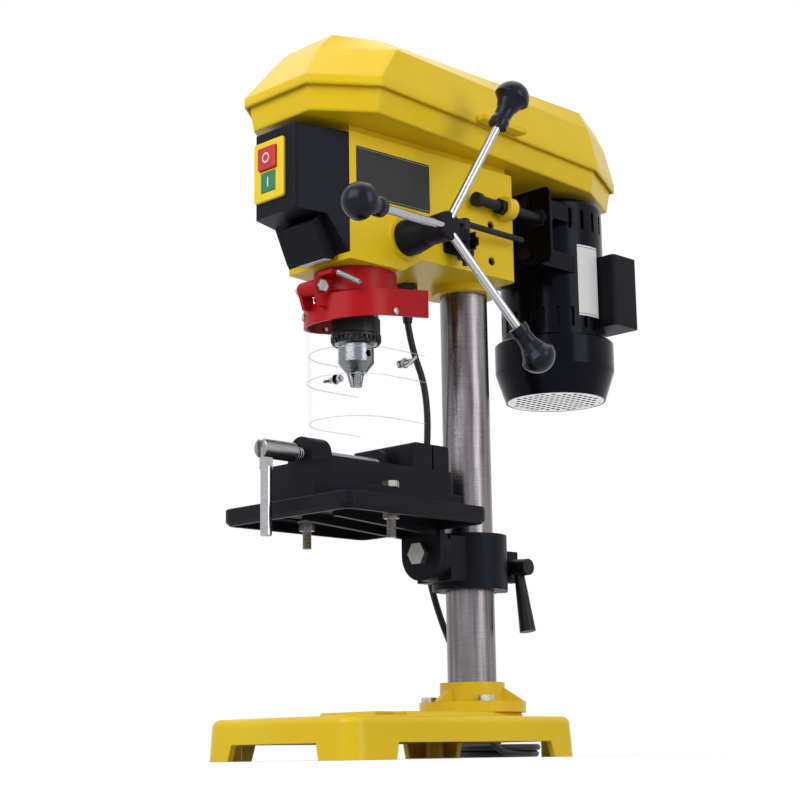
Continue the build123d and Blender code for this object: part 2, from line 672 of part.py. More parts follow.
PULLEY_TOP = PULLEY_BOTTOM + STEP_PITCH * len(STEP_RADII)
with BuildPart() as spindle_pulley:
    with BuildSketch(Plane.XZ):
        Polygon(
            (0, PULLEY_SLEEVE_BOTTOM), (PULLEY_SLEEVE_RADIUS, PULLEY_SLEEVE_BOTTOM),
            (PULLEY_SLEEVE_RADIUS, HEAD_TOP + BODY_GAP), (18, HEAD_TOP + BODY_GAP), (18, PULLEY_BOTTOM),
            *pulley_profile(tuple(reversed(STEP_RADII))), (0, PULLEY_TOP),
            align=None,
        )
    revolve(axis=Axis.Z)
    with BuildSketch(Plane.XY.offset(PULLEY_SLEEVE_BOTTOM - 1)):
        Circle(SPINDLE_RADIUS + 2 * RUNNING_FIT)
        with PolarLocations(0, SPLINE_COUNT):
            with Locations((SPLINE_RADIUS / 2 + RUNNING_FIT, 0)):
                Rectangle(SPLINE_RADIUS + 2 * RUNNING_FIT, SPLINE_WIDTH + 2 * RUNNING_FIT)
    extrude(amount=PULLEY_TOP - PULLEY_SLEEVE_BOTTOM + 2, mode=Mode.SUBTRACT)
spindle_pulley.part.position = (0, SPINDLE_Y, 0)
keep(spindle_pulley, "spindle_pulley")

with BuildPart() as motor_pulley:
    with BuildSketch(Plane.XZ):
        Polygon((0, PULLEY_BOTTOM), *pulley_profile(STEP_RADII), (0, PULLEY_TOP), align=None)
    revolve(axis=Axis.Z)
    with Locations((0, 0, PULLEY_BOTTOM)):
        Cylinder(MOTOR_SHAFT_RADIUS, 200, mode=Mode.SUBTRACT)
    # set screw hole in the smallest step
    with Locations(Location((STEP_RADII[0] - 8, 0, PULLEY_BOTTOM + 6), (0, 90, 0))):
        Cylinder(2, 30, mode=Mode.SUBTRACT)
motor_pulley.part.position = (0, MOTOR_Y, 0)
keep(motor_pulley, "motor_pulley")

BELT_STEP = len(STEP_RADII) // 2
BELT_Z = PULLEY_BOTTOM + STEP_PITCH * (BELT_STEP + 0.5)
BELT_OUTER = STEP_RADII[BELT_STEP] - 0.2
BELT_CLEARANCE = 0.1
belt_half = GROOVE_WIDTH / 2 - BELT_CLEARANCE
belt_taper = BELT_HEIGHT * tan(radians(GROOVE_HALF_ANGLE))
with BuildPart() as v_belt:
    with BuildLine(Plane.XY.offset(BELT_Z)):
        Line((BELT_OUTER, SPINDLE_Y), (BELT_OUTER, MOTOR_Y))
        CenterArc((0, MOTOR_Y), BELT_OUTER, 0, 180)
        Line((-BELT_OUTER, MOTOR_Y), (-BELT_OUTER, SPINDLE_Y))
        CenterArc((0, SPINDLE_Y), BELT_OUTER, 180, 180)
    with BuildSketch(Plane.XZ.offset(-SPINDLE_Y)):
        Polygon(
            (BELT_OUTER, BELT_Z - belt_half),
            (BELT_OUTER, BELT_Z + belt_half),
            (BELT_OUTER - BELT_HEIGHT, BELT_Z + belt_half - belt_taper),
            (BELT_OUTER - BELT_HEIGHT, BELT_Z - belt_half + belt_taper),
            align=None,
        )
    sweep()
keep(v_belt, "v_belt")

# ================================================================ quill, spindle and their bearings
RACK_Y = SPINDLE_Y + RACK_PITCH_OFFSET
RACK_PITCH = pi * RACK_MODULE
RACK_LOW = FEED_Z - 2 * RACK_PITCH
RACK_SPACES = 17
with BuildPart() as quill:
    with Locations((0, SPINDLE_Y, QUILL_BOTTOM)):
        Cylinder(QUILL_RADIUS, QUILL_LENGTH, align=(Align.CENTER, Align.CENTER, Align.MIN))
        Cylinder(10, QUILL_LENGTH, align=(Align.CENTER, Align.CENTER, Align.MIN), mode=Mode.SUBTRACT)
        Cylinder(BEARING_RADIUS, BEARING_WIDTH, align=(Align.CENTER, Align.CENTER, Align.MIN), mode=Mode.SUBTRACT)
    with Locations((0, SPINDLE_Y, QUILL_TOP)):
        Cylinder(BEARING_RADIUS, BEARING_WIDTH, align=(Align.CENTER, Align.CENTER, Align.MAX), mode=Mode.SUBTRACT)
    # rack: the quill is flatted, then the tooth spaces are cut across it
    with BuildSketch(Plane.YZ):
        with Locations((RACK_Y + RACK_ADDENDUM + 5, (RACK_LOW + QUILL_TOP - BEARING_WIDTH) / 2)):
            Rectangle(10, QUILL_TOP - BEARING_WIDTH - RACK_LOW + 4)
    extrude(amount=QUILL_RADIUS, both=True, mode=Mode.SUBTRACT)
    half_space = RACK_PITCH / 4 + TOOTH_BACKLASH / 4
    flank = tan(radians(PRESSURE_ANGLE))
    with BuildSketch(Plane.YZ):
        for number in range(RACK_SPACES):
            z = RACK_LOW + number * RACK_PITCH
            Polygon(
                (RACK_Y - RACK_MODULE * 1.25, z - half_space + RACK_MODULE * 1.25 * flank),
                (RACK_Y + RACK_MODULE * 1.25, z - half_space - RACK_MODULE * 1.25 * flank),
                (RACK_Y + RACK_MODULE * 1.25, z + half_space + RACK_MODULE * 1.25 * flank),
                (RACK_Y - RACK_MODULE * 1.25, z + half_space - RACK_MODULE * 1.25 * flank),
                align=None,
            )
    extrude(amount=QUILL_RADIUS, both=True, mode=Mode.SUBTRACT)
keep(quill, "quill")

with BuildPart() as quill_bearings:
    for z in (QUILL_BOTTOM, QUILL_TOP - BEARING_WIDTH):
        with BuildSketch(Plane.XY.offset(z)):
            with Locations((0, SPINDLE_Y)):
                Circle(BEARING_RADIUS)
                Circle(SPINDLE_RADIUS + RUNNING_FIT, mode=Mode.SUBTRACT)
        extrude(amount=BEARING_WIDTH)
keep(quill_bearings, "quill_bearings")

TAPER_BOTTOM = 378.0
with BuildPart() as spindle:
    with BuildSketch(Plane.XZ):
        Polygon(
            (0, TAPER_BOTTOM), (7.0, TAPER_BOTTOM), (7.9, QUILL_BOTTOM - 4), (9, QUILL_BOTTOM - 4),
            (9, QUILL_BOTTOM - 0.05), (SPINDLE_RADIUS, QUILL_BOTTOM - 0.05), (SPINDLE_RADIUS, SPINDLE_TOP),
            (0, SPINDLE_TOP),
            align=None,
        )
    revolve(axis=Axis.Z)
    with BuildSketch(Plane.XY.offset(QUILL_TOP + 2)):
        with PolarLocations(0, SPLINE_COUNT):
            with Locations((SPLINE_RADIUS / 2, 0)):
                Rectangle(SPLINE_RADIUS, SPLINE_WIDTH)
    extrude(amount=SPINDLE_TOP - QUILL_TOP - 2)
spindle.part.position = (0, SPINDLE_Y, 0)
keep(spindle, "spindle")

# ================================================================ chuck: body, geared sleeve, three jaws
jaw_lean = radians(JAW_ANGLE)


def jaw_plane(angle):
    """Plane square to a jaw's own axis, at the jaw's tip."""
    turn = radians(angle)
    return Plane(
        origin=(JAW_TIP_OFFSET * cos(turn), JAW_TIP_OFFSET * sin(turn), JAW_TIP),
        x_dir=(-sin(turn), cos(turn), 0),
        z_dir=(sin(jaw_lean) * cos(turn), sin(jaw_lean) * sin(turn), cos(jaw_lean)),
    )


JAW_ANGLES = (90.0, 210.0, 330.0)
with BuildPart() as chuck_body:
    with BuildSketch(Plane.XZ):
        Polygon(
            (0, CHUCK_NOSE_BOTTOM), (CHUCK_NOSE_TIP_RADIUS, CHUCK_NOSE_BOTTOM), (CHUCK_NOSE_RADIUS, 355),
            (CHUCK_NOSE_RADIUS, SLEEVE_BOTTOM - 1), (CHUCK_BODY_RADIUS, SLEEVE_BOTTOM + 1),
            (CHUCK_BODY_RADIUS, SLEEVE_TOP + 0.3), (21, SLEEVE_TOP + 0.3), (21, CHUCK_TOP - 3),
            (18, CHUCK_TOP - 3), (18, QUILL_BOTTOM - 4), (7.9, QUILL_BOTTOM - 4), (7.0, TAPER_BOTTOM),
            (0, TAPER_BOTTOM),
            align=None,
        )
    revolve(axis=Axis.Z)
    with Locations((0, 0, CHUCK_NOSE_BOTTOM - 1)):
        Cylinder(5.5, 26, align=(Align.CENTER, Align.CENTER, Align.MIN), mode=Mode.SUBTRACT)
    for angle in JAW_ANGLES:
        with BuildSketch(jaw_plane(angle).offset(2)):
            Circle(JAW_RADIUS + SLACK_FIT)
        extrude(amount=JAW_LENGTH + 17, mode=Mode.SUBTRACT)
    # three holes for the key's pilot
    for angle in (30, 150, 270):
        with Locations(Location((0, 0, 362), (0, 90, angle))):
            with Locations((0, 0, 13)):
                Cylinder(3.1, 8, mode=Mode.SUBTRACT)
chuck_body.part.position = (0, SPINDLE_Y, 0)
keep(chuck_body, "chuck_body")

with BuildPart() as chuck_sleeve:
    with BuildSketch(Plane.XZ):
        Polygon(
            (CHUCK_BODY_RADIUS + BODY_GAP, SLEEVE_BOTTOM + 1.5), (SLEEVE_RADIUS - 1, SLEEVE_BOTTOM),
            (SLEEVE_RADIUS + 0.8, SLEEVE_BOTTOM + 3), (SLEEVE_RADIUS + 0.8, SLEEVE_BOTTOM + 8),
            (SLEEVE_RADIUS, SLEEVE_BOTTOM + 9), (SLEEVE_RADIUS, SLEEVE_TOP - 1), (SLEEVE_RADIUS - 0.8, SLEEVE_TOP),
            (CHUCK_BODY_RADIUS + BODY_GAP, SLEEVE_TOP),
            align=None,
        )
    revolve(axis=Axis.Z)
    # bevel teeth round the lower rim
    with BuildSketch(Plane.XY.offset(SLEEVE_BOTTOM - 1)):
        with PolarLocations(SLEEVE_RADIUS + 0.4, SLEEVE_TEETH):
            Rectangle(3.0, 2.3)
    extrude(amount=6.5, mode=Mode.SUBTRACT)
chuck_sleeve.part.position = (0, SPINDLE_Y, 0)
keep(chuck_sleeve, "chuck_sleeve")

for number, angle in enumerate(JAW_ANGLES, start=1):
    with BuildPart() as chuck_jaw:
        with BuildSketch(jaw_plane(angle).offset(-4)):
            Circle(JAW_RADIUS)
        extrude(amount=JAW_LENGTH + 4)
        turn = radians(angle)
        with BuildSketch(Plane.XY.offset(JAW_TIP)):
            Polygon(
                (0.4 * cos(turn), 0.4 * sin(turn)),
                (40 * cos(turn - pi / 3), 40 * sin(turn - pi / 3)),
                (50 * cos(turn), 50 * sin(turn)),
                (40 * cos(turn + pi / 3), 40 * sin(turn + pi / 3)),
                align=None,
            )
        extrude(amount=2 * JAW_LENGTH, mode=Mode.INTERSECT)
    chuck_jaw.part.position = (0, SPINDLE_Y, 0)
    keep(chuck_jaw, f"chuck_jaw_{number}")

# ================================================================ feed: toothed shaft, hub, levers, knobs
base_radius = PINION_RADIUS * cos(radians(PRESSURE_ANGLE))
tip_radius = PINION_RADIUS + RACK_MODULE
pinion_root = PINION_RADIUS - 1.25 * RACK_MODULE


def involute_angle(radius):
    """Polar angle of an involute at a radius."""
    pressure = sqrt(max((radius / base_radius) ** 2 - 1, 0))
    return pressure - atan2(pressure, 1)


pitch_half = pi / 2 / PINION_TEETH - TOOTH_BACKLASH / 4 / PINION_RADIUS
tooth_half = pitch_half + involute_angle(PINION_RADIUS)
tooth_radii = [pinion_root - 0.5] + [base_radius + (tip_radius - base_radius) * n / 5 for n in range(6)]
tooth_flank = [
    (radius * cos(angle), radius * sin(angle))
    for radius in tooth_radii
    for angle in [tooth_half - involute_angle(radius)]
]
with BuildPart() as pinion_shaft:
    with BuildSketch(feed_axis_right.offset(-12)):
        Circle(pinion_root)
        for tooth in range(PINION_TEETH):
            # one tooth points straight at the rack
            with Locations(Location((0, 0, 0), (0, 0, 180 + tooth * 360 / PINION_TEETH))):
                Polygon(*tooth_flank, *[(x, -y) for x, y in reversed(tooth_flank)], align=None)
    extrude(amount=24)
    for side in (-1, 1):
        with BuildSketch(feed_axis_right.offset(side * 12)):
            Circle(FEED_SHAFT_RADIUS)
        extrude(amount=side * (FEED_BOSS_X - 12))
    with BuildSketch(feed_axis_right.offset(FEED_BOSS_X)):
        Circle(7)
    extrude(amount=HUB_END_X - 6 - FEED_BOSS_X)
    with BuildSketch(feed_axis_right.offset(-FEED_BOSS_X)):
        Circle(5)
    extrude(amount=-20)
keep(pinion_shaft, "pinion_shaft")

HUB_ROOT_X = FEED_BOSS_X + BODY_GAP
lever_root_x = HUB_END_X - 6
lever_slant = atan2(LEVER_RAKE, LEVER_SWEEP)


def lever_plane(angle):
    """Plane square to a feed lever, at the hub's axis."""
    turn = radians(angle)
    along = (sin(lever_slant), cos(lever_slant) * cos(turn), cos(lever_slant) * sin(turn))
    return Plane(origin=(lever_root_x, FEED_Y, FEED_Z), z_dir=along)


with BuildPart() as feed_hub:
    with BuildSketch(Plane.XZ):
        Polygon(
            (HUB_ROOT_X, 0), (HUB_ROOT_X, HUB_ROOT_RADIUS), (HUB_ROOT_X + 8, HUB_ROOT_RADIUS),
            (HUB_ROOT_X + 30, HUB_END_RADIUS), (HUB_END_X - 1.5, HUB_END_RADIUS + 0.5),
            (HUB_END_X, HUB_END_RADIUS - 1), (HUB_END_X, 0),
            align=None,
        )
    revolve(axis=Axis.X)
    with BuildSketch(Plane.YZ.offset(HUB_ROOT_X - 1)):
        Circle(7)
    extrude(amount=lever_root_x - HUB_ROOT_X + 1, mode=Mode.SUBTRACT)
feed_hub.part.position = (0, FEED_Y, FEED_Z)
with feed_hub:
    for angle in LEVER_ANGLES:
        with BuildSketch(lever_plane(angle).offset(8.5)):
            Circle(LEVER_RADIUS)
        extrude(amount=30, mode=Mode.SUBTRACT)
keep(feed_hub, "feed_hub")

with BuildPart() as feed_levers:
    for angle in LEVER_ANGLES:
        with BuildSketch(lever_plane(angle).offset(8.5)):
            Circle(LEVER_RADIUS)
        extrude(amount=LEVER_REACH)
keep(feed_levers, "feed_levers")

KNOB_START = hypot(LEVER_RAKE, LEVER_SWEEP) - 30
KNOB_DOME = KNOB_LENGTH - KNOB_RADIUS
with BuildPart() as lever_knobs:
    for angle in LEVER_ANGLES:
        square = lever_plane(angle).offset(KNOB_START)
        with BuildSketch(Plane(origin=square.origin, x_dir=square.x_dir, z_dir=-square.y_dir)):
            with BuildLine():
                Polyline((LEVER_RADIUS, 0), (KNOB_COLLAR_RADIUS, 0), (KNOB_COLLAR_RADIUS, 6),
                         (KNOB_NECK_RADIUS, 10), (KNOB_NECK_RADIUS + 0.8, 18),
                         (KNOB_RADIUS - 4.5, 26), (KNOB_RADIUS, KNOB_DOME))
                ThreePointArc((KNOB_RADIUS, KNOB_DOME),
                              (KNOB_RADIUS * cos(pi / 4), KNOB_DOME + (KNOB_LENGTH - KNOB_DOME) * sin(pi / 4)),
                              (0, KNOB_LENGTH))
                Polyline((0, KNOB_LENGTH), (0, LEVER_REACH + 8.5 - KNOB_START),
                         (LEVER_RADIUS, LEVER_REACH + 8.5 - KNOB_START), (LEVER_RADIUS, 0))
            make_face()
        revolve(axis=Axis(square.origin, square.z_dir))
keep(lever_knobs, "lever_knobs")

# return spring and its cap on the far side of the head
SPRING_X = -FEED_BOSS_X
SPRING_STRIP = 0.8
SPRING_STEP = 4.4
SPRING_HALF_TURNS = 6
with BuildPart() as return_spring:
    with BuildSketch(Plane(origin=(SPRING_X - 13, FEED_Y, FEED_Z), x_dir=(0, 1, 0), z_dir=(1, 0, 0))):
        with BuildLine():
            # half turns about two centres in turn make the spiral's inner and outer edges
            for half in range(SPRING_HALF_TURNS):
                radius = 6.0 + half * SPRING_STEP / 2
                centre = (half % 2) * SPRING_STEP / 2
                CenterArc((centre, 0), radius, 180 * (half % 2), 180)
                CenterArc((centre, 0), radius + SPRING_STRIP, 180 * (half % 2), 180)
            Line((6.0, 0), (6.0 + SPRING_STRIP, 0))
            Line((centre + radius, 0), (centre + radius + SPRING_STRIP, 0))
        make_face()
    extrude(amount=11)
keep(return_spring, "return_spring")

with BuildPart() as return_spring_cap:
    with BuildSketch(Plane.YZ.offset(SPRING_X - 17)):
        with Locations((FEED_Y, FEED_Z)):
            Circle(25)
    extrude(amount=17)
    chamfer(return_spring_cap.faces().sort_by(Axis.X)[0].edges(), 1.5)
    with BuildSketch(Plane.YZ.offset(SPRING_X - 14.5)):
        with Locations((FEED_Y, FEED_Z)):
            Circle(23)
    extrude(amount=15, mode=Mode.SUBTRACT)
    with BuildSketch(Plane.YZ.offset(SPRING_X - 20)):
        with Locations((FEED_Y, FEED_Z)):
            Circle(5 + BODY_GAP)
    extrude(amount=20, mode=Mode.SUBTRACT)
keep(return_spring_cap, "return_spring_cap")

# ================================================================ switch housing, buttons and lamp
SWITCH_WALL = 3.0


def switch_wedge(inset):
    """The switch housing's outer form pulled in by inset on every side but the rear."""
    with BuildPart() as wedge:
        with BuildSketch(Plane.XY.offset(440)):
            Polygon(
                (-SWITCH_FRONT_HALF + inset, SWITCH_FRONT_Y + inset), (SWITCH_FRONT_HALF - inset, SWITCH_FRONT_Y + inset),
                (HEAD_FRONT_HALF - inset, HEAD_FRONT_Y), (-HEAD_FRONT_HALF + inset, HEAD_FRONT_Y),
                align=None,
            )
        extrude(amount=SWITCH_TOP - 440)
        with BuildSketch(Plane.YZ):
            Polygon(
                (SWITCH_FRONT_Y - 1, 477 + inset), (-110, 476 + inset), (-92, 448 + inset), (HEAD_FRONT_Y + 1, 443 + inset),
                (HEAD_FRONT_Y + 1, SWITCH_TOP - inset), (SWITCH_FRONT_Y - 1, SWITCH_TOP - inset),
                align=None,
            )
        extrude(amount=60, both=True, mode=Mode.INTERSECT)
    return wedge.part


STOP_CENTRE = (SWITCH_FRAME_X, SWITCH_FRAME_Z + 11.0)
START_CENTRE = (SWITCH_FRAME_X, SWITCH_FRAME_Z - 11.0)
BUTTON_GAP = BODY_GAP + 0.1


def rect_at(centre, size, grow):
    """Rectangle of a button grown by grow on every side, in an XZ sketch."""
    with Locations(centre):
        Rectangle(size[0] + 2 * grow, size[1] + 2 * grow)


with BuildPart() as switch_housing:
    add(switch_wedge(0))
    front_edges = switch_housing.edges().filter_by(Axis.Z).group_by(Axis.Y)[0]
    fillet(front_edges, 4)
    add(switch_wedge(SWITCH_WALL), mode=Mode.SUBTRACT)
    with BuildSketch(Plane.XZ.offset(-SWITCH_FRONT_Y + 5)):
        rect_at(STOP_CENTRE, STOP_SIZE, BUTTON_GAP)
        rect_at(START_CENTRE, START_SIZE, BUTTON_GAP)
    extrude(amount=-SWITCH_WALL - 7, mode=Mode.SUBTRACT)
keep(switch_housing, "switch_housing")

with BuildPart() as switch_frame:
    with BuildSketch(Plane.XZ.offset(-SWITCH_FRONT_Y)):
        with Locations((SWITCH_FRAME_X, SWITCH_FRAME_Z)):
            RectangleRounded(*SWITCH_FRAME_SIZE, 3)
    extrude(amount=3)
    chamfer(switch_frame.faces().sort_by(Axis.Y)[0].edges(), 0.8)
    with BuildSketch(Plane.XZ.offset(-SWITCH_FRONT_Y + 5)):
        rect_at(STOP_CENTRE, STOP_SIZE, BUTTON_GAP)
        rect_at(START_CENTRE, START_SIZE, BUTTON_GAP)
    extrude(amount=-10, mode=Mode.SUBTRACT)
keep(switch_frame, "switch_frame")


def button(name, centre, size, proud):
    """Push button with a retaining lip behind the housing's front wall."""
    with BuildPart() as push:
        with BuildSketch(Plane.XZ.offset(-SWITCH_FRONT_Y + proud)):
            with Locations(centre):
                RectangleRounded(size[0], size[1], 1.5)
        extrude(amount=-proud - SWITCH_WALL - 6)
        fillet(push.faces().sort_by(Axis.Y)[0].edges(), 1.0)
        with BuildSketch(Plane.XZ.offset(-SWITCH_FRONT_Y - SWITCH_WALL - 1)):
            with Locations(centre):
                Rectangle(size[0] + 3, size[1])
        extrude(amount=-3)
    keep(push, name)


button("stop_button", STOP_CENTRE, STOP_SIZE, 6.0)
button("start_button", START_CENTRE, START_SIZE, 3.6)

with BuildPart() as work_light:
    with BuildSketch(Plane.YZ.offset(-13)):
        Polygon((-121, 469), (-112, 476), (-110, 476), (-92, 448), (-94, 439), (-105, 438), align=None)
    extrude(amount=40)
    fillet(work_light.edges().filter_by(Axis.X).sort_by(Axis.Z)[0:2], 2)
keep(work_light, "work_light")

# ================================================================ key holder and chuck key
KEY_X = 64.0
KEY_Y = 38.0
KEY_BAR_Z = 490.0
KEY_SHANK_RADIUS = 5.0
with BuildPart() as key_holder:
    with BuildSketch(Plane.XY.offset(466)):
        with Locations((KEY_X, KEY_Y)):
            Circle(10.5)
        with Locations(((KEY_X + head_half_width(KEY_Y)) / 2, KEY_Y)):
            Rectangle(KEY_X - head_half_width(KEY_Y) - 2, 15, rotation=-HEAD_FLARE)
    extrude(amount=16)
    with Locations((KEY_X, KEY_Y, 470)):
        Cylinder(13.0, 6, align=(Align.CENTER, Align.CENTER, Align.MIN))
        Cylinder(KEY_SHANK_RADIUS + SLACK_FIT, 60, mode=Mode.SUBTRACT)
    with BuildSketch(side_plane(KEY_Y, 474)):
        RectangleRounded(26, 22, 3)
    extrude(amount=2.5)
    with Locations((KEY_X, KEY_Y, 470)):
        Cylinder(KEY_SHANK_RADIUS + SLACK_FIT, 60, mode=Mode.SUBTRACT)
    # open at its outer side, where the shank snaps in
    with Locations((KEY_X + 15, KEY_Y, 470)):
        Box(30, 2 * (KEY_SHANK_RADIUS + SLACK_FIT), 60, mode=Mode.SUBTRACT)
keep(key_holder, "key_holder")

with BuildPart() as chuck_key:
    with Locations((KEY_X, KEY_Y, 450)):
        Cylinder(3.0, 16, align=(Align.CENTER, Align.CENTER, Align.MIN))
    with Locations((KEY_X, KEY_Y, 466)):
        Cylinder(KEY_SHANK_RADIUS, 29, align=(Align.CENTER, Align.CENTER, Align.MIN))
    # bevel pinion
    with BuildSketch(Plane.XY.offset(456)):
        with Locations((KEY_X, KEY_Y)):
            Circle(7.6)
    extrude(amount=7.5, taper=-8)
    with BuildSketch(Plane.XY.offset(455)):
        with Locations((KEY_X, KEY_Y)):
            with PolarLocations(8.4, 11):
                Rectangle(3.4, 2.2)
    extrude(amount=9, mode=Mode.SUBTRACT)
    with Locations(Location((KEY_X + 1.3, KEY_Y + 24, KEY_BAR_Z), (-90, 0, -3))):
        Cylinder(3.0, 112)
    fillet(chuck_key.faces().sort_by(Axis.Y)[-1].edges(), 1.0)
    chamfer(chuck_key.faces().sort_by(Axis.Z)[-1].edges(), 1.0)
keep(chuck_key, "chuck_key")

# ================================================================ chuck guard
BAND_LOW = ((GUARD_PIVOT_Y - 10, 384.0), (GUARD_REAR_Y + 10, 398.0))
BAND_HIGH = ((GUARD_PIVOT_Y - 10, 408.0), (GUARD_REAR_Y + 10, 424.0))
HINGE_EYE = 7.5
with BuildPart() as guard_collar:
    with BuildSketch(Plane.XY.offset(COLLAR_BOTTOM)):
        with Locations((0, SPINDLE_Y)):
            Circle(COLLAR_RADIUS)
            Circle(QUILL_BOSS_RADIUS, mode=Mode.SUBTRACT)
    extrude(amount=COLLAR_TOP - COLLAR_BOTTOM)
    chamfer(guard_collar.faces().sort_by(Axis.Z)[0].edges(), 1)
    with BuildSketch(Plane.YZ):
        with Locations((GUARD_PIVOT_Y, GUARD_PIVOT_Z)):
            Circle(HINGE_EYE)
        Polygon(
            (GUARD_PIVOT_Y, GUARD_PIVOT_Z - HINGE_EYE), (SPINDLE_Y - 34, GUARD_PIVOT_Z - 1.5),
            (SPINDLE_Y - 34, GUARD_PIVOT_Z + 14), (GUARD_PIVOT_Y, GUARD_PIVOT_Z + HINGE_EYE),
            align=None,
        )
    extrude(amount=8, both=True)
    # arm that anchors the counterbalance spring
    with BuildSketch(Plane.XY.offset(426)):
        Polygon(
            (7, GUARD_PIVOT_Y + 1), (24, GUARD_PIVOT_Y + 1), (24, GUARD_PIVOT_Y + 8), (7, GUARD_PIVOT_Y + 17),
            align=None,
        )
    extrude(amount=4)
    with BuildSketch(Plane.YZ):
        with Locations((GUARD_PIVOT_Y, GUARD_PIVOT_Z)):
            Circle(3)
    extrude(amount=20, both=True, mode=Mode.SUBTRACT)
keep(guard_collar, "guard_collar")

with BuildPart() as guard_bolts:
    with BuildSketch(Plane.YZ):
        with Locations((GUARD_PIVOT_Y, GUARD_PIVOT_Z)):
            Circle(3)
    extrude(amount=15, both=True)
    for start, length in ((12.4, 3.6), (-12.4, -4.0)):
        with BuildSketch(Plane.YZ.offset(start)):
            with Locations((GUARD_PIVOT_Y, GUARD_PIVOT_Z)):
                RegularPolygon(radius=5, side_count=6, major_radius=False)
        extrude(amount=length)
keep(guard_bolts, "guard_bolts")

with BuildPart() as guard_drum:
    with BuildSketch(Plane.XY.offset(380)):
        with Locations((0, SPINDLE_Y)):
            Circle(GUARD_RADIUS)
        with Locations((0, (SPINDLE_Y + GUARD_REAR_Y) / 2)):
            Rectangle(2 * GUARD_RADIUS, GUARD_REAR_Y - SPINDLE_Y)
        with Locations((0, SPINDLE_Y)):
            Circle(GUARD_RADIUS - DRUM_WALL, mode=Mode.SUBTRACT)
        with Locations((0, (SPINDLE_Y + GUARD_REAR_Y) / 2 + 2)):
            Rectangle(2 * (GUARD_RADIUS - DRUM_WALL), GUARD_REAR_Y - SPINDLE_Y + 4, mode=Mode.SUBTRACT)
    extrude(amount=60)
    with BuildSketch(Plane.YZ):
        Polygon(*BAND_LOW, *reversed(BAND_HIGH), align=None)
    extrude(amount=GUARD_RADIUS + 5, both=True, mode=Mode.INTERSECT)
    # hinge ears
    for side in (-1, 1):
        with BuildSketch(Plane.YZ.offset(side * 8.4)):
            with Locations((GUARD_PIVOT_Y, GUARD_PIVOT_Z)):
                Circle(HINGE_EYE)
            Polygon(
                (GUARD_PIVOT_Y - HINGE_EYE, GUARD_PIVOT_Z), (GUARD_PIVOT_Y - 1, 398), (GUARD_PIVOT_Y + 8.4, 398),
                (GUARD_PIVOT_Y + 8.4, 409), (GUARD_PIVOT_Y + HINGE_EYE, GUARD_PIVOT_Z),
                align=None,
            )
            with Locations((GUARD_PIVOT_Y, GUARD_PIVOT_Z)):
                Circle(3 + RUNNING_FIT, mode=Mode.SUBTRACT)
        extrude(amount=side * 3.6)
    # notch over the collar's lug
    with BuildSketch(Plane.XY.offset(404)):
        with Locations((0, GUARD_PIVOT_Y)):
            Rectangle(16.8, 24)
    extrude(amount=30, mode=Mode.SUBTRACT)
DRUM_SCREW_ANGLES = (5.0, 175.0, -122.0)
DRUM_SCREW_Z = 396.0
with guard_drum:
    for angle in DRUM_SCREW_ANGLES:
        with BuildSketch(Plane(origin=(0, SPINDLE_Y, DRUM_SCREW_Z),
                               z_dir=(cos(radians(angle)), sin(radians(angle)), 0)).offset(GUARD_RADIUS - 12)):
            Circle(2)
        extrude(amount=20, mode=Mode.SUBTRACT)
keep(guard_drum, "guard_drum")


def shell(outer, wall, low, high, rear):
    """Thin U-shaped shell about the spindle axis, open at the rear."""
    with BuildPart() as thin:
        with BuildSketch(Plane.XY.offset(low)):
            with Locations((0, SPINDLE_Y)):
                Circle(outer)
            with Locations((0, (SPINDLE_Y + rear) / 2)):
                Rectangle(2 * outer, rear - SPINDLE_Y)
            with Locations((0, SPINDLE_Y)):
                Circle(outer - wall, mode=Mode.SUBTRACT)
            with Locations((0, (SPINDLE_Y + rear) / 2 + 2)):
                Rectangle(2 * (outer - wall), rear - SPINDLE_Y + 4, mode=Mode.SUBTRACT)
        extrude(amount=high - low)
    return thin.part


WINDOW_OUTER = GUARD_RADIUS - DRUM_WALL
SHIELD_OUTER = WINDOW_OUTER - WINDOW_WALL - BODY_GAP
with BuildPart() as guard_window:
    add(shell(WINDOW_OUTER, WINDOW_WALL, WINDOW_BOTTOM, 402, GUARD_REAR_Y - 2))
    for angle in DRUM_SCREW_ANGLES:
        with BuildSketch(Plane(origin=(0, SPINDLE_Y, DRUM_SCREW_Z),
                               z_dir=(cos(radians(angle)), sin(radians(angle)), 0)).offset(GUARD_RADIUS - 12)):
            Circle(2)
        extrude(amount=20, mode=Mode.SUBTRACT)
    with BuildSketch(Plane.YZ.offset(-60)):
        with Locations((THUMB_SCREW_Y, THUMB_SCREW_Z)):
            Circle(2)
    extrude(amount=120, mode=Mode.SUBTRACT)
keep(guard_window, "guard_window")

SHIELD_SLOT_TOP = THUMB_SCREW_Z + 3.0
with BuildPart() as guard_shield:
    add(shell(SHIELD_OUTER, WINDOW_WALL, SHIELD_BOTTOM, SHIELD_TOP, GUARD_REAR_Y - 2))
    with BuildSketch(Plane.YZ.offset(-60)):
        with Locations((THUMB_SCREW_Y, (SHIELD_SLOT_BOTTOM + SHIELD_SLOT_TOP) / 2)):
            SlotOverall(SHIELD_SLOT_TOP - SHIELD_SLOT_BOTTOM, 5, rotation=90)
    extrude(amount=120, mode=Mode.SUBTRACT)
keep(guard_shield, "guard_shield")

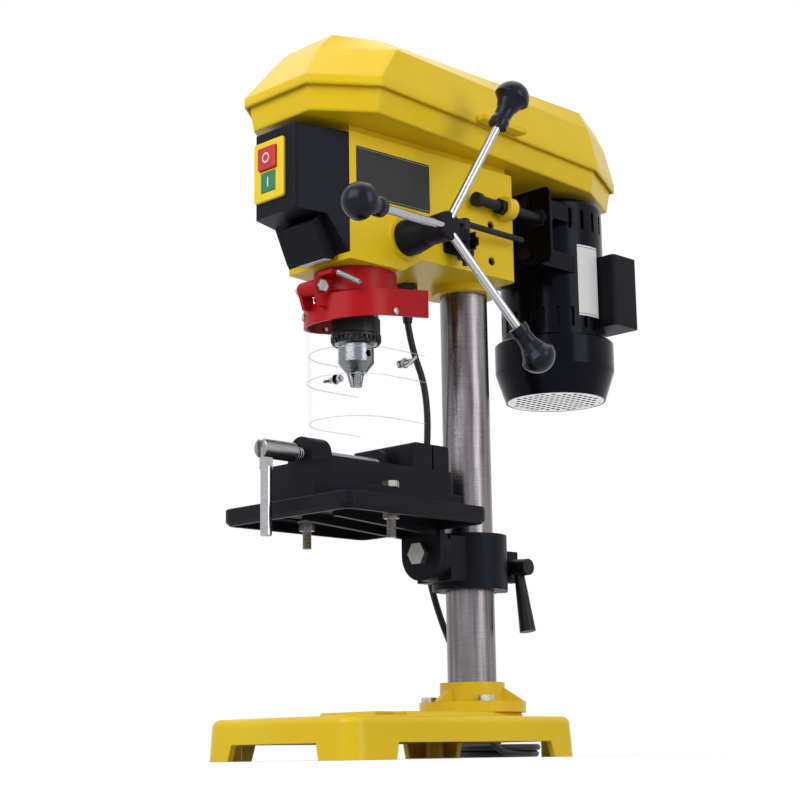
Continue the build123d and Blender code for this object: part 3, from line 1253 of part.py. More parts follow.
with BuildPart() as guard_screws:
    for angle in DRUM_SCREW_ANGLES:
        face = Plane(origin=(0, SPINDLE_Y, DRUM_SCREW_Z), z_dir=(cos(radians(angle)), sin(radians(angle)), 0))
        with BuildSketch(face.offset(GUARD_RADIUS - DRUM_WALL - WINDOW_WALL)):
            Circle(2)
        extrude(amount=DRUM_WALL + WINDOW_WALL + 1)
        with BuildSketch(face.offset(GUARD_RADIUS + 0.6)):
            Circle(4)
        extrude(amount=2.4)
    for side in (-1, 1):
        thumb = Plane(origin=(0, THUMB_SCREW_Y, THUMB_SCREW_Z), z_dir=(side, 0, 0))
        with BuildSketch(thumb.offset(SHIELD_OUTER - WINDOW_WALL - 5)):
            Circle(2)
        extrude(amount=WINDOW_WALL * 2 + 8)
        with BuildSketch(thumb.offset(SHIELD_OUTER - WINDOW_WALL - BODY_GAP)):
            RegularPolygon(radius=3.6, side_count=6, major_radius=False)
        extrude(amount=-3)
        with BuildSketch(thumb.offset(WINDOW_OUTER)):
            RegularPolygon(radius=6.5, side_count=12, major_radius=True)
        extrude(amount=7)
keep(guard_screws, "guard_screws")

with BuildPart() as guard_spring:
    coil_turns = 8
    coil_length = 26.0
    spring_line = Plane(origin=(26, GUARD_PIVOT_Y + 5, 428), x_dir=(0, 0, 1), z_dir=(21, 17, -14))
    ridge = coil_length / coil_turns
    with BuildSketch(Plane(origin=spring_line.origin, x_dir=spring_line.x_dir, z_dir=-spring_line.y_dir)):
        Polygon(
            (0, 0),
            *[point for n in range(coil_turns)
              for point in ((2.0, n * ridge), (3.0, n * ridge + ridge / 2))],
            (2.0, coil_length), (0, coil_length),
            align=None,
        )
    revolve(axis=Axis(spring_line.origin, spring_line.z_dir))
keep(guard_spring, "guard_spring")

# ================================================================ motor, its plate and slide bars
with BuildPart() as motor_plate:
    with BuildSketch(Plane.XZ.offset(-MOTOR_PLATE_Y)):
        with Locations((0, (MOTOR_PLATE_BOTTOM + MOTOR_PLATE_TOP) / 2)):
            RectangleRounded(2 * MOTOR_PLATE_HALF + 14, MOTOR_PLATE_TOP - MOTOR_PLATE_BOTTOM, 6)
        with Locations((0, 502)):
            Circle(30, mode=Mode.SUBTRACT)
        with Locations((-SLIDE_BAR_X, SLIDE_BAR_Z), (SLIDE_BAR_X, SLIDE_BAR_Z)):
            Circle(SLIDE_BAR_RADIUS, mode=Mode.SUBTRACT)
        with Locations(*[(x, z) for x in (-40, 40) for z in (488, 540)]):
            Circle(3.5, mode=Mode.SUBTRACT)
    extrude(amount=-MOTOR_PLATE_THICKNESS)
keep(motor_plate, "motor_plate")

with BuildPart() as slide_bars:
    for side in (-1, 1):
        with BuildSketch(Plane.XZ.offset(-SLIDE_BAR_FRONT)):
            with Locations((side * SLIDE_BAR_X, SLIDE_BAR_Z)):
                Circle(SLIDE_BAR_RADIUS)
        extrude(amount=SLIDE_BAR_FRONT - MOTOR_PLATE_Y - MOTOR_PLATE_THICKNESS)
        with BuildSketch(Plane.XZ.offset(-SLIDE_BAR_FRONT)):
            with Locations((side * SLIDE_BAR_X, SLIDE_BAR_Z)):
                Circle(7)
        extrude(amount=-6)
        for start in (MOTOR_PLATE_Y - 5, MOTOR_PLATE_Y + MOTOR_PLATE_THICKNESS):
            with BuildSketch(Plane.XZ.offset(-start)):
                with Locations((side * SLIDE_BAR_X, SLIDE_BAR_Z)):
                    RegularPolygon(radius=8, side_count=6, major_radius=False)
            extrude(amount=-5)
keep(slide_bars, "slide_bars")

PLATE_REAR = MOTOR_PLATE_Y + MOTOR_PLATE_THICKNESS
MOTOR_VENTS = 22
with BuildPart() as motor_body:
    with Locations((0, MOTOR_Y, MOTOR_BOTTOM)):
        Cylinder(MOTOR_RADIUS, MOTOR_TOP - MOTOR_BOTTOM, align=(Align.CENTER, Align.CENTER, Align.MIN))
    fillet(motor_body.edges().filter_by(GeomType.CIRCLE).sort_by(Axis.Z)[-1], 6)
    with Locations((0, MOTOR_Y, MOTOR_TOP)):
        Cylinder(19, 3, align=(Align.CENTER, Align.CENTER, Align.MIN))
    # mounting pads on the plate
    for z in (488, 540):
        with BuildSketch(Plane.XZ.offset(-PLATE_REAR)):
            with Locations((-40, z), (40, z)):
                Rectangle(18, 18)
        extrude(amount=PLATE_REAR - MOTOR_Y + 15)
    with BuildSketch(Plane.XZ.offset(-PLATE_REAR)):
        with Locations(*[(x, z) for x in (-40, 40) for z in (488, 540)]):
            Circle(3.5)
    extrude(amount=-16, mode=Mode.SUBTRACT)
    # ventilation slots in two rows
    for z in (537, 434):
        with Locations((0, MOTOR_Y, z)):
            with PolarLocations(MOTOR_RADIUS, MOTOR_VENTS, start_angle=4):
                Box(7, 4.2, 20, mode=Mode.SUBTRACT)
    with Locations((0, MOTOR_Y, MOTOR_BOTTOM - 1)):
        Cylinder(MOTOR_SHAFT_RADIUS + RUNNING_FIT, 400, mode=Mode.SUBTRACT)
keep(motor_body, "motor_body")

with BuildPart() as motor_bolts:
    for x in (-40, 40):
        for z in (488, 540):
            with BuildSketch(Plane.XZ.offset(-MOTOR_PLATE_Y)):
                with Locations((x, z)):
                    Circle(3.5)
            extrude(amount=-14)
            with BuildSketch(Plane.XZ.offset(-MOTOR_PLATE_Y)):
                with Locations((x, z)):
                    RegularPolygon(radius=5.5, side_count=6, major_radius=False)
            extrude(amount=4.4)
keep(motor_bolts, "motor_bolts")

with BuildPart() as fan_cover:
    with BuildSketch(Plane.XZ):
        Polygon(
            (MOTOR_RADIUS, FAN_COVER_TOP), (FAN_COVER_RADIUS - 2, FAN_COVER_TOP), (FAN_COVER_RADIUS, FAN_COVER_TOP - 2),
            (FAN_COVER_RADIUS, FAN_COVER_WAIST), (GRILLE_RADIUS, FAN_COVER_BOTTOM),
            (GRILLE_RADIUS - FAN_COVER_WALL, FAN_COVER_BOTTOM),
            (FAN_COVER_RADIUS - FAN_COVER_WALL, FAN_COVER_WAIST),
            (FAN_COVER_RADIUS - FAN_COVER_WALL, FAN_COVER_TOP - 3), (MOTOR_RADIUS, FAN_COVER_TOP - 3),
            align=None,
        )
    revolve(axis=Axis.Z)
fan_cover.part.position = (0, MOTOR_Y, 0)
keep(fan_cover, "fan_cover")

with BuildPart() as fan_grille:
    with Locations((0, 0, FAN_COVER_BOTTOM)):
        Cylinder(GRILLE_RADIUS - FAN_COVER_WALL, 2, align=(Align.CENTER, Align.CENTER, Align.MIN))
    with BuildSketch(Plane.XY.offset(FAN_COVER_BOTTOM - 1)):
        for radius in (14.0, 20.0, 26.0, 32.0, 38.0, 44.0):
            Circle(radius + 3.6)
            Circle(radius, mode=Mode.SUBTRACT)
        Rectangle(5, 200, mode=Mode.SUBTRACT)
        Rectangle(200, 5, mode=Mode.SUBTRACT)
    extrude(amount=5, mode=Mode.SUBTRACT)
fan_grille.part.position = (0, MOTOR_Y, 0)
keep(fan_grille, "fan_grille")

with BuildPart() as capacitor_box:
    with BuildSketch(Plane.XY.offset(427)):
        with Locations((52, MOTOR_Y + 30)):
            Rectangle(42, 38)
    extrude(amount=74)
    fillet(capacitor_box.edges().filter_by(Axis.Z).group_by(Axis.X)[-1], 4)
    with Locations((0, MOTOR_Y, 400)):
        Cylinder(MOTOR_RADIUS, 300, mode=Mode.SUBTRACT)
keep(capacitor_box, "capacitor_box")

SHAFT_BOTTOM = FAN_COVER_BOTTOM + 6
with BuildPart() as motor_shaft:
    with Locations((0, MOTOR_Y, SHAFT_BOTTOM)):
        Cylinder(MOTOR_SHAFT_RADIUS, PULLEY_TOP + 1 - SHAFT_BOTTOM, align=(Align.CENTER, Align.CENTER, Align.MIN))
    chamfer(motor_shaft.faces().sort_by(Axis.Z)[-1].edges(), 0.8)
keep(motor_shaft, "motor_shaft")

with BuildPart() as cooling_fan:
    with Locations((0, 0, SHAFT_BOTTOM + 1)):
        Cylinder(14, 20, align=(Align.CENTER, Align.CENTER, Align.MIN))
    for blade in range(7):
        with Locations(Location((0, 0, SHAFT_BOTTOM + 11), (0, 0, blade * 360 / 7))):
            with Locations(Location((26, 0, 0), (32, 0, 0))):
                Box(28, 2, 20)
    with Locations((0, 0, SHAFT_BOTTOM)):
        Cylinder(MOTOR_SHAFT_RADIUS, 100, mode=Mode.SUBTRACT)
cooling_fan.part.position = (0, MOTOR_Y, 0)
keep(cooling_fan, "cooling_fan")

# ================================================================ table bracket and its clamp
TILT_FACE_Y = TILT_Y + BODY_GAP
EAR_INNER = 2.0
EAR_OUTER = 12.0
with BuildPart() as table_bracket:
    with BuildSketch(Plane.XY.offset(BRACKET_BOTTOM)):
        with Locations((0, COLUMN_Y)):
            Circle(36)
        with Locations((0, CLAMP_Y - 7)):
            Rectangle(2 * EAR_OUTER, 38)
    extrude(amount=BRACKET_TOP - BRACKET_BOTTOM)
    # arm that widens into the tilt disc
    with BuildSketch(Plane.XZ.offset(-TILT_FACE_Y)):
        with Locations((0, TILT_Z)):
            Circle(TILT_DISC_RADIUS)
    extrude(amount=-10)
    with BuildSketch(Plane.XZ.offset(-TILT_FACE_Y - 10)):
        with Locations((0, TILT_Z - 4)):
            Rectangle(44, 42)
    extrude(amount=-22)
    with BuildSketch(Plane.XY.offset(BRACKET_BOTTOM - 1)):
        with Locations((0, COLUMN_Y)):
            Circle(COLUMN_RADIUS + RUNNING_FIT)
        with Locations((0, COLUMN_Y + 40)):
            Rectangle(2 * EAR_INNER, 50)
    extrude(amount=BRACKET_TOP - BRACKET_BOTTOM + 2, mode=Mode.SUBTRACT)
    # relief above and below the clamp bolt leaves two ears
    with BuildSketch(Plane.YZ.offset(-20)):
        with Locations((CLAMP_Y + 10, BRACKET_BOTTOM + 2)):
            Rectangle(28, 16)
        with Locations((CLAMP_Y + 10, BRACKET_TOP - 4)):
            Rectangle(28, 16)
    extrude(amount=40, mode=Mode.SUBTRACT)
    with BuildSketch(Plane.YZ.offset(-20)):
        with Locations((CLAMP_Y, CLAMP_Z)):
            Circle(5 + RUNNING_FIT)
    extrude(amount=40, mode=Mode.SUBTRACT)
    with BuildSketch(Plane.XZ.offset(-TILT_FACE_Y + 5)):
        with Locations((0, TILT_Z)):
            Circle(TILT_BOLT_RADIUS + RUNNING_FIT)
    extrude(amount=-27, mode=Mode.SUBTRACT)
keep(table_bracket, "table_bracket")

CLAMP_ARM_X = 25.0
CLAMP_ARM_DROP = 62.0
with BuildPart() as clamp_lever:
    with BuildSketch(Plane.YZ.offset(-EAR_OUTER - 8)):
        with Locations((CLAMP_Y, CLAMP_Z)):
            Circle(5)
    extrude(amount=EAR_OUTER + 8 + 26)
    with BuildSketch(Plane.YZ.offset(-EAR_OUTER - BODY_GAP)):
        with Locations((CLAMP_Y, CLAMP_Z)):
            RegularPolygon(radius=8, side_count=6, major_radius=False)
    extrude(amount=-6)
    with BuildSketch(Plane.YZ.offset(EAR_OUTER + BODY_GAP)):
        with Locations((CLAMP_Y, CLAMP_Z)):
            Circle(9)
    extrude(amount=24, taper=3)
    with BuildSketch(Plane(origin=(CLAMP_ARM_X - 2, CLAMP_Y, CLAMP_Z), x_dir=(0, 1, 0), z_dir=(0.16, 0, -1))):
        Circle(4.5)
    extrude(amount=CLAMP_ARM_DROP, taper=-3)
keep(clamp_lever, "clamp_lever")

# ================================================================ table with its tilt bolt and vise bolts
BRACKET_LUG_FRONT = TILT_Y - TILT_DISC_THICKNESS
with BuildPart() as table:
    with BuildSketch(Plane.XY.offset(TABLE_TOP - TABLE_RIM_DEPTH)):
        with Locations((0, (TABLE_FRONT_Y + TABLE_REAR_Y) / 2)):
            RectangleRounded(2 * TABLE_HALF_WIDTH, TABLE_REAR_Y - TABLE_FRONT_Y, TABLE_CORNER)
    extrude(amount=TABLE_RIM_DEPTH)
    chamfer(table.faces().sort_by(Axis.Z)[-1].edges(), 1)
    chamfer(table.faces().sort_by(Axis.Z)[0].edges(), TABLE_RIM_BEVEL)
    with BuildSketch(Plane.XY.offset(TABLE_TOP - TABLE_RIM_DEPTH)):
        with Locations((0, (TABLE_FRONT_Y + TABLE_REAR_Y) / 2)):
            RectangleRounded(2 * (TABLE_HALF_WIDTH - TABLE_RIM_WIDTH),
                             TABLE_REAR_Y - TABLE_FRONT_Y - 2 * TABLE_RIM_WIDTH, TABLE_CORNER / 2)
    extrude(amount=TABLE_RIM_DEPTH - TABLE_PLATE, mode=Mode.SUBTRACT)
    # tilt lug and the ribs that stiffen it
    with BuildSketch(Plane.XZ.offset(-TILT_Y)):
        with Locations((0, TILT_Z)):
            Circle(TILT_DISC_RADIUS)
        with Locations((0, (TILT_Z + TABLE_TOP - TABLE_PLATE) / 2)):
            Rectangle(2 * TILT_DISC_RADIUS, TABLE_TOP - TABLE_PLATE - TILT_Z)
    extrude(amount=TILT_DISC_THICKNESS)
    for x in (-20, 20):
        with BuildSketch(Plane.YZ.offset(x - 2.5)):
            Polygon(
                (BRACKET_LUG_FRONT + 1, TABLE_TOP - TABLE_RIM_DEPTH - 5),
                (BRACKET_LUG_FRONT + 1, TABLE_TOP - TABLE_PLATE + 1),
                (-90, TABLE_TOP - TABLE_PLATE + 1), (-90, TABLE_TOP - TABLE_RIM_DEPTH + 3),
                align=None,
            )
        extrude(amount=5)
    with BuildSketch(Plane.XZ.offset(-TILT_Y - 1)):
        with Locations((0, TILT_Z)):
            Circle(TILT_BOLT_RADIUS)
    extrude(amount=TILT_DISC_THICKNESS + 3, mode=Mode.SUBTRACT)
    with BuildSketch(Plane.XY.offset(TABLE_TOP - 20)):
        with Locations((-TABLE_SLOT_X, VISE_BOLT_Y), (TABLE_SLOT_X, VISE_BOLT_Y)):
            SlotOverall(90, TABLE_SLOT_WIDTH, rotation=90)
        with Locations((0, SPINDLE_Y)):
            Circle(8)
    extrude(amount=30, mode=Mode.SUBTRACT)
keep(table, "table")

with BuildPart() as table_bolts:
    with BuildSketch(Plane.XZ.offset(-BRACKET_LUG_FRONT)):
        with Locations((0, TILT_Z)):
            Circle(TILT_BOLT_RADIUS)
    extrude(amount=-26)
    with BuildSketch(Plane.XZ.offset(-BRACKET_LUG_FRONT)):
        with Locations((0, TILT_Z)):
            RegularPolygon(radius=9.5, side_count=6, major_radius=False)
    extrude(amount=6.5)
    # vise bolts: head on the vise, washer and nut under the table
    for x in (-TABLE_SLOT_X, TABLE_SLOT_X):
        with BuildSketch(Plane.XY.offset(TABLE_TOP + VISE_BASE_THICKNESS)):
            with Locations((x, VISE_BOLT_Y)):
                RegularPolygon(radius=6.5, side_count=6, major_radius=False)
        extrude(amount=5.3)
        with BuildSketch(Plane.XY.offset(TABLE_TOP + VISE_BASE_THICKNESS)):
            with Locations((x, VISE_BOLT_Y)):
                Circle(4)
        extrude(amount=-VISE_BASE_THICKNESS - 32)
        with BuildSketch(Plane.XY.offset(TABLE_TOP - TABLE_PLATE)):
            with Locations((x, VISE_BOLT_Y)):
                Circle(9)
        extrude(amount=-1.6)
        with BuildSketch(Plane.XY.offset(TABLE_TOP - TABLE_PLATE - 1.6)):
            with Locations((x, VISE_BOLT_Y)):
                RegularPolygon(radius=6.5, side_count=6, major_radius=False)
        extrude(amount=-8)
keep(table_bolts, "table_bolts")

# ================================================================ machine vise
VISE_DECK = TABLE_TOP + VISE_BASE_THICKNESS
with BuildPart() as vise_body:
    with BuildSketch(Plane.XY.offset(TABLE_TOP)):
        Polygon(
            (-34, VISE_FRONT_Y), (34, VISE_FRONT_Y), (42, VISE_FRONT_Y + 14), (VISE_BASE_HALF, VISE_FRONT_Y + 30),
            (VISE_BASE_HALF, VISE_REAR_Y - 6), (VISE_BASE_HALF - 6, VISE_REAR_Y), (-VISE_BASE_HALF + 6, VISE_REAR_Y),
            (-VISE_BASE_HALF, VISE_REAR_Y - 6), (-VISE_BASE_HALF, VISE_FRONT_Y + 30), (-42, VISE_FRONT_Y + 14),
            align=None,
        )
    extrude(amount=VISE_BASE_THICKNESS)
    with BuildSketch(Plane.XY.offset(VISE_DECK)):
        with Locations((0, (VISE_BOSS_FRONT + VISE_REAR_Y) / 2)):
            Rectangle(2 * VISE_BODY_HALF, VISE_REAR_Y - VISE_BOSS_FRONT)
    extrude(amount=VISE_BODY_TOP - VISE_DECK)
    # channel the moving jaw's tongue runs in
    with BuildSketch(Plane.XY.offset(VISE_CHANNEL_FLOOR)):
        with Locations((0, (VISE_BOSS_REAR + FIXED_JAW_FRONT) / 2)):
            Rectangle(2 * VISE_CHANNEL_HALF, FIXED_JAW_FRONT - VISE_BOSS_REAR)
    extrude(amount=60, mode=Mode.SUBTRACT)
    # front boss threaded for the screw
    with BuildSketch(Plane.XZ.offset(-VISE_BOSS_FRONT)):
        with Locations((0, VISE_SCREW_Z)):
            Circle(VISE_BOSS_RADIUS)
        Polygon((-22, VISE_DECK), (22, VISE_DECK), (VISE_BOSS_RADIUS, VISE_SCREW_Z), (-VISE_BOSS_RADIUS, VISE_SCREW_Z),
                align=None)
    extrude(amount=VISE_BOSS_FRONT - VISE_BOSS_REAR)
    # fixed jaw
    with BuildSketch(Plane.XY.offset(VISE_DECK)):
        with Locations((0, (FIXED_JAW_FRONT + VISE_REAR_Y) / 2)):
            Rectangle(2 * JAW_BLOCK_HALF, VISE_REAR_Y - FIXED_JAW_FRONT)
    extrude(amount=FIXED_JAW_TOP - VISE_DECK)
    fillet(vise_body.faces().sort_by(Axis.Z)[-1].edges().filter_by(Axis.X).sort_by(Axis.Y)[-1], 3)
    with BuildSketch(Plane.XZ.offset(-VISE_BOSS_FRONT + 5)):
        with Locations((0, VISE_SCREW_Z)):
            Circle(VISE_SCREW_RADIUS + RUNNING_FIT)
    extrude(amount=VISE_BOSS_FRONT - VISE_BOSS_REAR - 10, mode=Mode.SUBTRACT)
    with BuildSketch(Plane.XY.offset(TABLE_TOP - 1)):
        with Locations((-TABLE_SLOT_X, VISE_BOLT_Y), (TABLE_SLOT_X, VISE_BOLT_Y)):
            Circle(4)
    extrude(amount=VISE_BASE_THICKNESS + 2, mode=Mode.SUBTRACT)
keep(vise_body, "vise_body")

TONGUE_HALF = VISE_CHANNEL_HALF - BODY_GAP
MOVING_JAW_REAR = MOVING_JAW_FRONT + MOVING_JAW_LENGTH
with BuildPart() as vise_jaw:
    with BuildSketch(Plane.XY.offset(VISE_BODY_TOP + BODY_GAP)):
        with Locations((0, (MOVING_JAW_FRONT + MOVING_JAW_REAR) / 2)):
            Rectangle(2 * JAW_BLOCK_HALF, MOVING_JAW_LENGTH)
    extrude(amount=MOVING_JAW_TOP - VISE_BODY_TOP - BODY_GAP)
    fillet(vise_jaw.faces().sort_by(Axis.Z)[-1].edges().filter_by(Axis.X).sort_by(Axis.Y)[0], 3)
    with BuildSketch(Plane.XY.offset(VISE_CHANNEL_FLOOR + BODY_GAP)):
        with Locations((0, (MOVING_JAW_FRONT - 10 + MOVING_JAW_REAR) / 2)):
            Rectangle(2 * TONGUE_HALF, MOVING_JAW_LENGTH + 10)
    extrude(amount=VISE_BODY_TOP + BODY_GAP - VISE_CHANNEL_FLOOR)
    with BuildSketch(Plane.XZ.offset(-MOVING_JAW_FRONT)):
        with Locations((0, VISE_SCREW_Z)):
            Circle(13)
    extrude(amount=10)
    with BuildSketch(Plane.XZ.offset(-MOVING_JAW_FRONT + 12)):
        with Locations((0, VISE_SCREW_Z)):
            Circle(VISE_SCREW_RADIUS + RUNNING_FIT)
    extrude(amount=-28, mode=Mode.SUBTRACT)
keep(vise_jaw, "vise_jaw")

SCREW_END_Y = MOVING_JAW_FRONT + 12
with BuildPart() as vise_screw:
    with BuildSketch(Plane.XZ.offset(-SCREW_END_Y)):
        with Locations((0, VISE_SCREW_Z)):
            Circle(VISE_SCREW_RADIUS)
    extrude(amount=SCREW_END_Y - VISE_HEAD_REAR)
    with BuildSketch(Plane.XZ.offset(-VISE_HEAD_REAR)):
        with Locations((0, VISE_SCREW_Z)):
            Circle(VISE_HEAD_RADIUS)
    extrude(amount=VISE_HEAD_REAR - VISE_HEAD_FRONT)
    chamfer(vise_screw.faces().sort_by(Axis.Y)[0].edges(), 1)
    # fork the handle folds in, and its pin
    with BuildSketch(Plane.YZ.offset(-3.3)):
        with Locations((VISE_HEAD_FRONT + 6, VISE_SCREW_Z)):
            Rectangle(20, 30)
    extrude(amount=6.6, mode=Mode.SUBTRACT)
    with BuildSketch(Plane.YZ.offset(-8)):
        with Locations((HANDLE_Y, VISE_SCREW_Z)):
            Circle(2)
    extrude(amount=16)
keep(vise_screw, "vise_screw")

with BuildPart() as vise_handle:
    with BuildSketch(Plane.YZ.offset(-3)):
        with Locations((HANDLE_Y, VISE_SCREW_Z)):
            Circle(HANDLE_RADIUS)
        with Locations((HANDLE_Y, VISE_SCREW_Z - 9)):
            Rectangle(2 * HANDLE_RADIUS, 18)
    extrude(amount=6)
    with BuildSketch(Plane.XY.offset(VISE_SCREW_Z - 16)):
        with Locations((0, HANDLE_Y)):
            Circle(HANDLE_RADIUS)
    extrude(amount=16 - HANDLE_LENGTH)
    chamfer(vise_handle.faces().sort_by(Axis.Z)[0].edges(), 1)
    with BuildSketch(Plane.YZ.offset(-8)):
        with Locations((HANDLE_Y, VISE_SCREW_Z)):
            Circle(2 + RUNNING_FIT)
    extrude(amount=16, mode=Mode.SUBTRACT)
keep(vise_handle, "vise_handle")

# ================================================================ mains lead
# strain relief under the head, free lead down behind the table, spare length coiled behind the base
GLAND_X = -24.0
GLAND_Y = 49.0
GLAND_BOTTOM = 413.0
COIL_CENTRE = (-72.0, 214.0)
COIL_RADIUS = 35.0
COIL_ROWS = 3
COIL_LAYERS = 2
with BuildPart() as cord_gland:
    with BuildSketch(Plane.XY.offset(HEAD_TAIL)):
        with Locations((GLAND_X, GLAND_Y)):
            RegularPolygon(radius=9, side_count=6, major_radius=False)
    extrude(amount=-6)
    with BuildSketch(Plane.XY.offset(HEAD_TAIL - 6)):
        with Locations((GLAND_X, GLAND_Y)):
            Circle(7)
    extrude(amount=GLAND_BOTTOM - HEAD_TAIL + 6, taper=4.5)
keep(cord_gland, "cord_gland")

coil_near = (COIL_CENTRE[0] + COIL_RADIUS + 2 * CORD_RADIUS, COIL_CENTRE[1])
CORD_ROUTE = [
    (GLAND_X, GLAND_Y, GLAND_BOTTOM),
    (GLAND_X + 1.0, 53.0, 388.0),
    (-18.0, 66.0, 352.0),
    (-22.0, 73.0, 304.0),
    (-38.0, 79.0, 250.0),
    (-50.0, 92.0, 196.0),
    (-57.0, 116.0, 142.0),
    (-58.0, 146.0, 92.0),
    (-48.0, 160.0, 44.0),
    (-38.0, 176.0, 5.5),
    (coil_near[0] + 0.5, COIL_CENTRE[1] - 4, 4.0),
]
runs = [Vector(*b) - Vector(*a) for a, b in zip(CORD_ROUTE[:-1], CORD_ROUTE[1:])]
CORD_RADII = []
for first, second in zip(runs[:-1], runs[1:]):
    half_turn = radians(first.get_angle(second)) / 2
    CORD_RADII.append(0.45 * min(first.length, second.length) / tan(half_turn))
print("cord bend radii", [round(radius, 1) for radius in CORD_RADII])
print("cord run lengths", [round(run.length, 1) for run in runs])
with BuildPart() as mains_cord:
    with BuildLine() as lead:
        FilletPolyline(*CORD_ROUTE, radius=CORD_RADII)
    with BuildSketch(Plane(origin=CORD_ROUTE[0], z_dir=runs[0])):
        Circle(CORD_RADIUS)
    sweep()
lead_length = sum(edge.length for edge in lead.edges())
print("cord length", round(lead_length, 1),
      "volume ratio", round(mains_cord.part.volume / (pi * CORD_RADIUS ** 2 * lead_length), 4))
keep(mains_cord, "mains_cord")

with BuildPart() as cord_coil:
    with BuildSketch(Plane.XZ) as coil_section:
        with Locations((COIL_RADIUS, CORD_RADIUS * COIL_LAYERS)):
            Rectangle(2 * CORD_RADIUS * COIL_ROWS, 2 * CORD_RADIUS * COIL_LAYERS)
        chamfer(coil_section.vertices(), CORD_RADIUS / 2)
    revolve(axis=Axis.Z)
cord_coil.part.position = (*COIL_CENTRE, 0)
keep(cord_coil, "cord_coil")
print("coiled length", round(2 * pi * COIL_RADIUS * COIL_ROWS * COIL_LAYERS))

# the plug lies beside the coil, where the outermost turn leaves it
PLUG_AXIS_Y = COIL_CENTRE[1] + COIL_RADIUS + (COIL_ROWS - 1) * CORD_RADIUS
coil_rim = COIL_RADIUS + COIL_ROWS * CORD_RADIUS
PLUG_START = COIL_CENTRE[0] - sqrt(coil_rim ** 2 - (PLUG_AXIS_Y - COIL_CENTRE[1]) ** 2)
PLUG_LENGTH = 38.0
RELIEF_LENGTH = 25.0
with BuildPart() as mains_plug:
    with BuildSketch(Plane(origin=(PLUG_START + 1, PLUG_AXIS_Y, 8), z_dir=(-1, 0, 0))):
        Circle(4.2)
    extrude(amount=RELIEF_LENGTH, taper=-4)
    with BuildSketch(Plane.XY):
        with Locations((PLUG_START - RELIEF_LENGTH - PLUG_LENGTH / 2 + 2, PLUG_AXIS_Y)):
            RectangleRounded(PLUG_LENGTH, 28, 6)
    extrude(amount=17)
    fillet(mains_plug.faces().sort_by(Axis.Z)[-1].edges(), 2)
    # two flat blades and the round earth pin
    with BuildSketch(Plane(origin=(PLUG_START - RELIEF_LENGTH - PLUG_LENGTH + 4, PLUG_AXIS_Y, 0),
                           x_dir=(0, 1, 0), z_dir=(-1, 0, 0))):
        with Locations((-6.35, -9), (6.35, -9)):
            Rectangle(1.6, 6.4)
        with Locations((0, -4)):
            Circle(2.4)
    extrude(amount=18.5)
keep(mains_plug, "mains_plug")
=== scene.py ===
import math

import bmesh
import bpy
from mathutils import Matrix, Vector


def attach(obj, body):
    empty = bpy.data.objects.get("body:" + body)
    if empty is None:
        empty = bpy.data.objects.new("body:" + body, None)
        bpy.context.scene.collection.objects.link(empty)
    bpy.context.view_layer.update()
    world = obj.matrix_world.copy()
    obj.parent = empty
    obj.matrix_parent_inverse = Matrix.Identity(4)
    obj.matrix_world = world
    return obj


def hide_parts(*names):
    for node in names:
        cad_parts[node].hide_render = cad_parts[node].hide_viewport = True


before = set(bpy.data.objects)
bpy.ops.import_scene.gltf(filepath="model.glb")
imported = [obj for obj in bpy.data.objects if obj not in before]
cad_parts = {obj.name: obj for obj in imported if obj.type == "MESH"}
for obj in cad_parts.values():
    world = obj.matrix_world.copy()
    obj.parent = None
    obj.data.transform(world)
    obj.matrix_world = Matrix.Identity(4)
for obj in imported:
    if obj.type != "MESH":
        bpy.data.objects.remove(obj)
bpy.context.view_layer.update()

# ---------------------------------------------------------------- viewpoint
# The machine stands on a bench and is seen from its front right corner with a long lens,
# from just above the bench top and looking slightly up.
scene = bpy.context.scene
camera = bpy.data.objects.new("camera", bpy.data.cameras.new("camera"))
scene.collection.objects.link(camera)
camera.data.sensor_width = 36.0
camera.data.lens = 78.48
camera.data.clip_start = 0.05
camera.data.clip_end = 30.0
turn, lift, roll = math.radians(45.0), math.radians(11.52), math.radians(0.88)
ahead = Vector((-math.sin(turn) * math.cos(lift), math.cos(turn) * math.cos(lift), math.sin(lift)))
level_right = Vector((math.cos(turn), math.sin(turn), 0.0))
level_up = level_right.cross(ahead)
camera_right = level_right * math.cos(roll) - level_up * math.sin(roll)
camera_up = camera_right.cross(ahead)
camera.matrix_world = Matrix((
    (camera_right.x, camera_up.x, -ahead.x, 1.128),
    (camera_right.y, camera_up.y, -ahead.y, -1.1151),
    (camera_right.z, camera_up.z, -ahead.z, 0.0033),
    (0, 0, 0, 1),
))
scene.camera = camera

# ---------------------------------------------------------------- mains lead and plug
# A round three-core lead in black rubber with a moulded plug. It drops from a relief under the
# head, hangs behind the table and ends in a neat coil on the bench behind the base.
LEAD_DIAMETER = 0.0064
lead_route = [
    (-24.0, 49.0, 413.0), (-23.0, 53.0, 388.0), (-18.0, 66.0, 352.0), (-22.0, 73.0, 304.0),
    (-38.0, 79.0, 250.0), (-50.0, 92.0, 196.0), (-57.0, 116.0, 142.0), (-58.0, 146.0, 92.0),
    (-48.0, 160.0, 44.0), (-38.0, 176.0, 6.0), (-31.5, 204.0, 3.4),
]
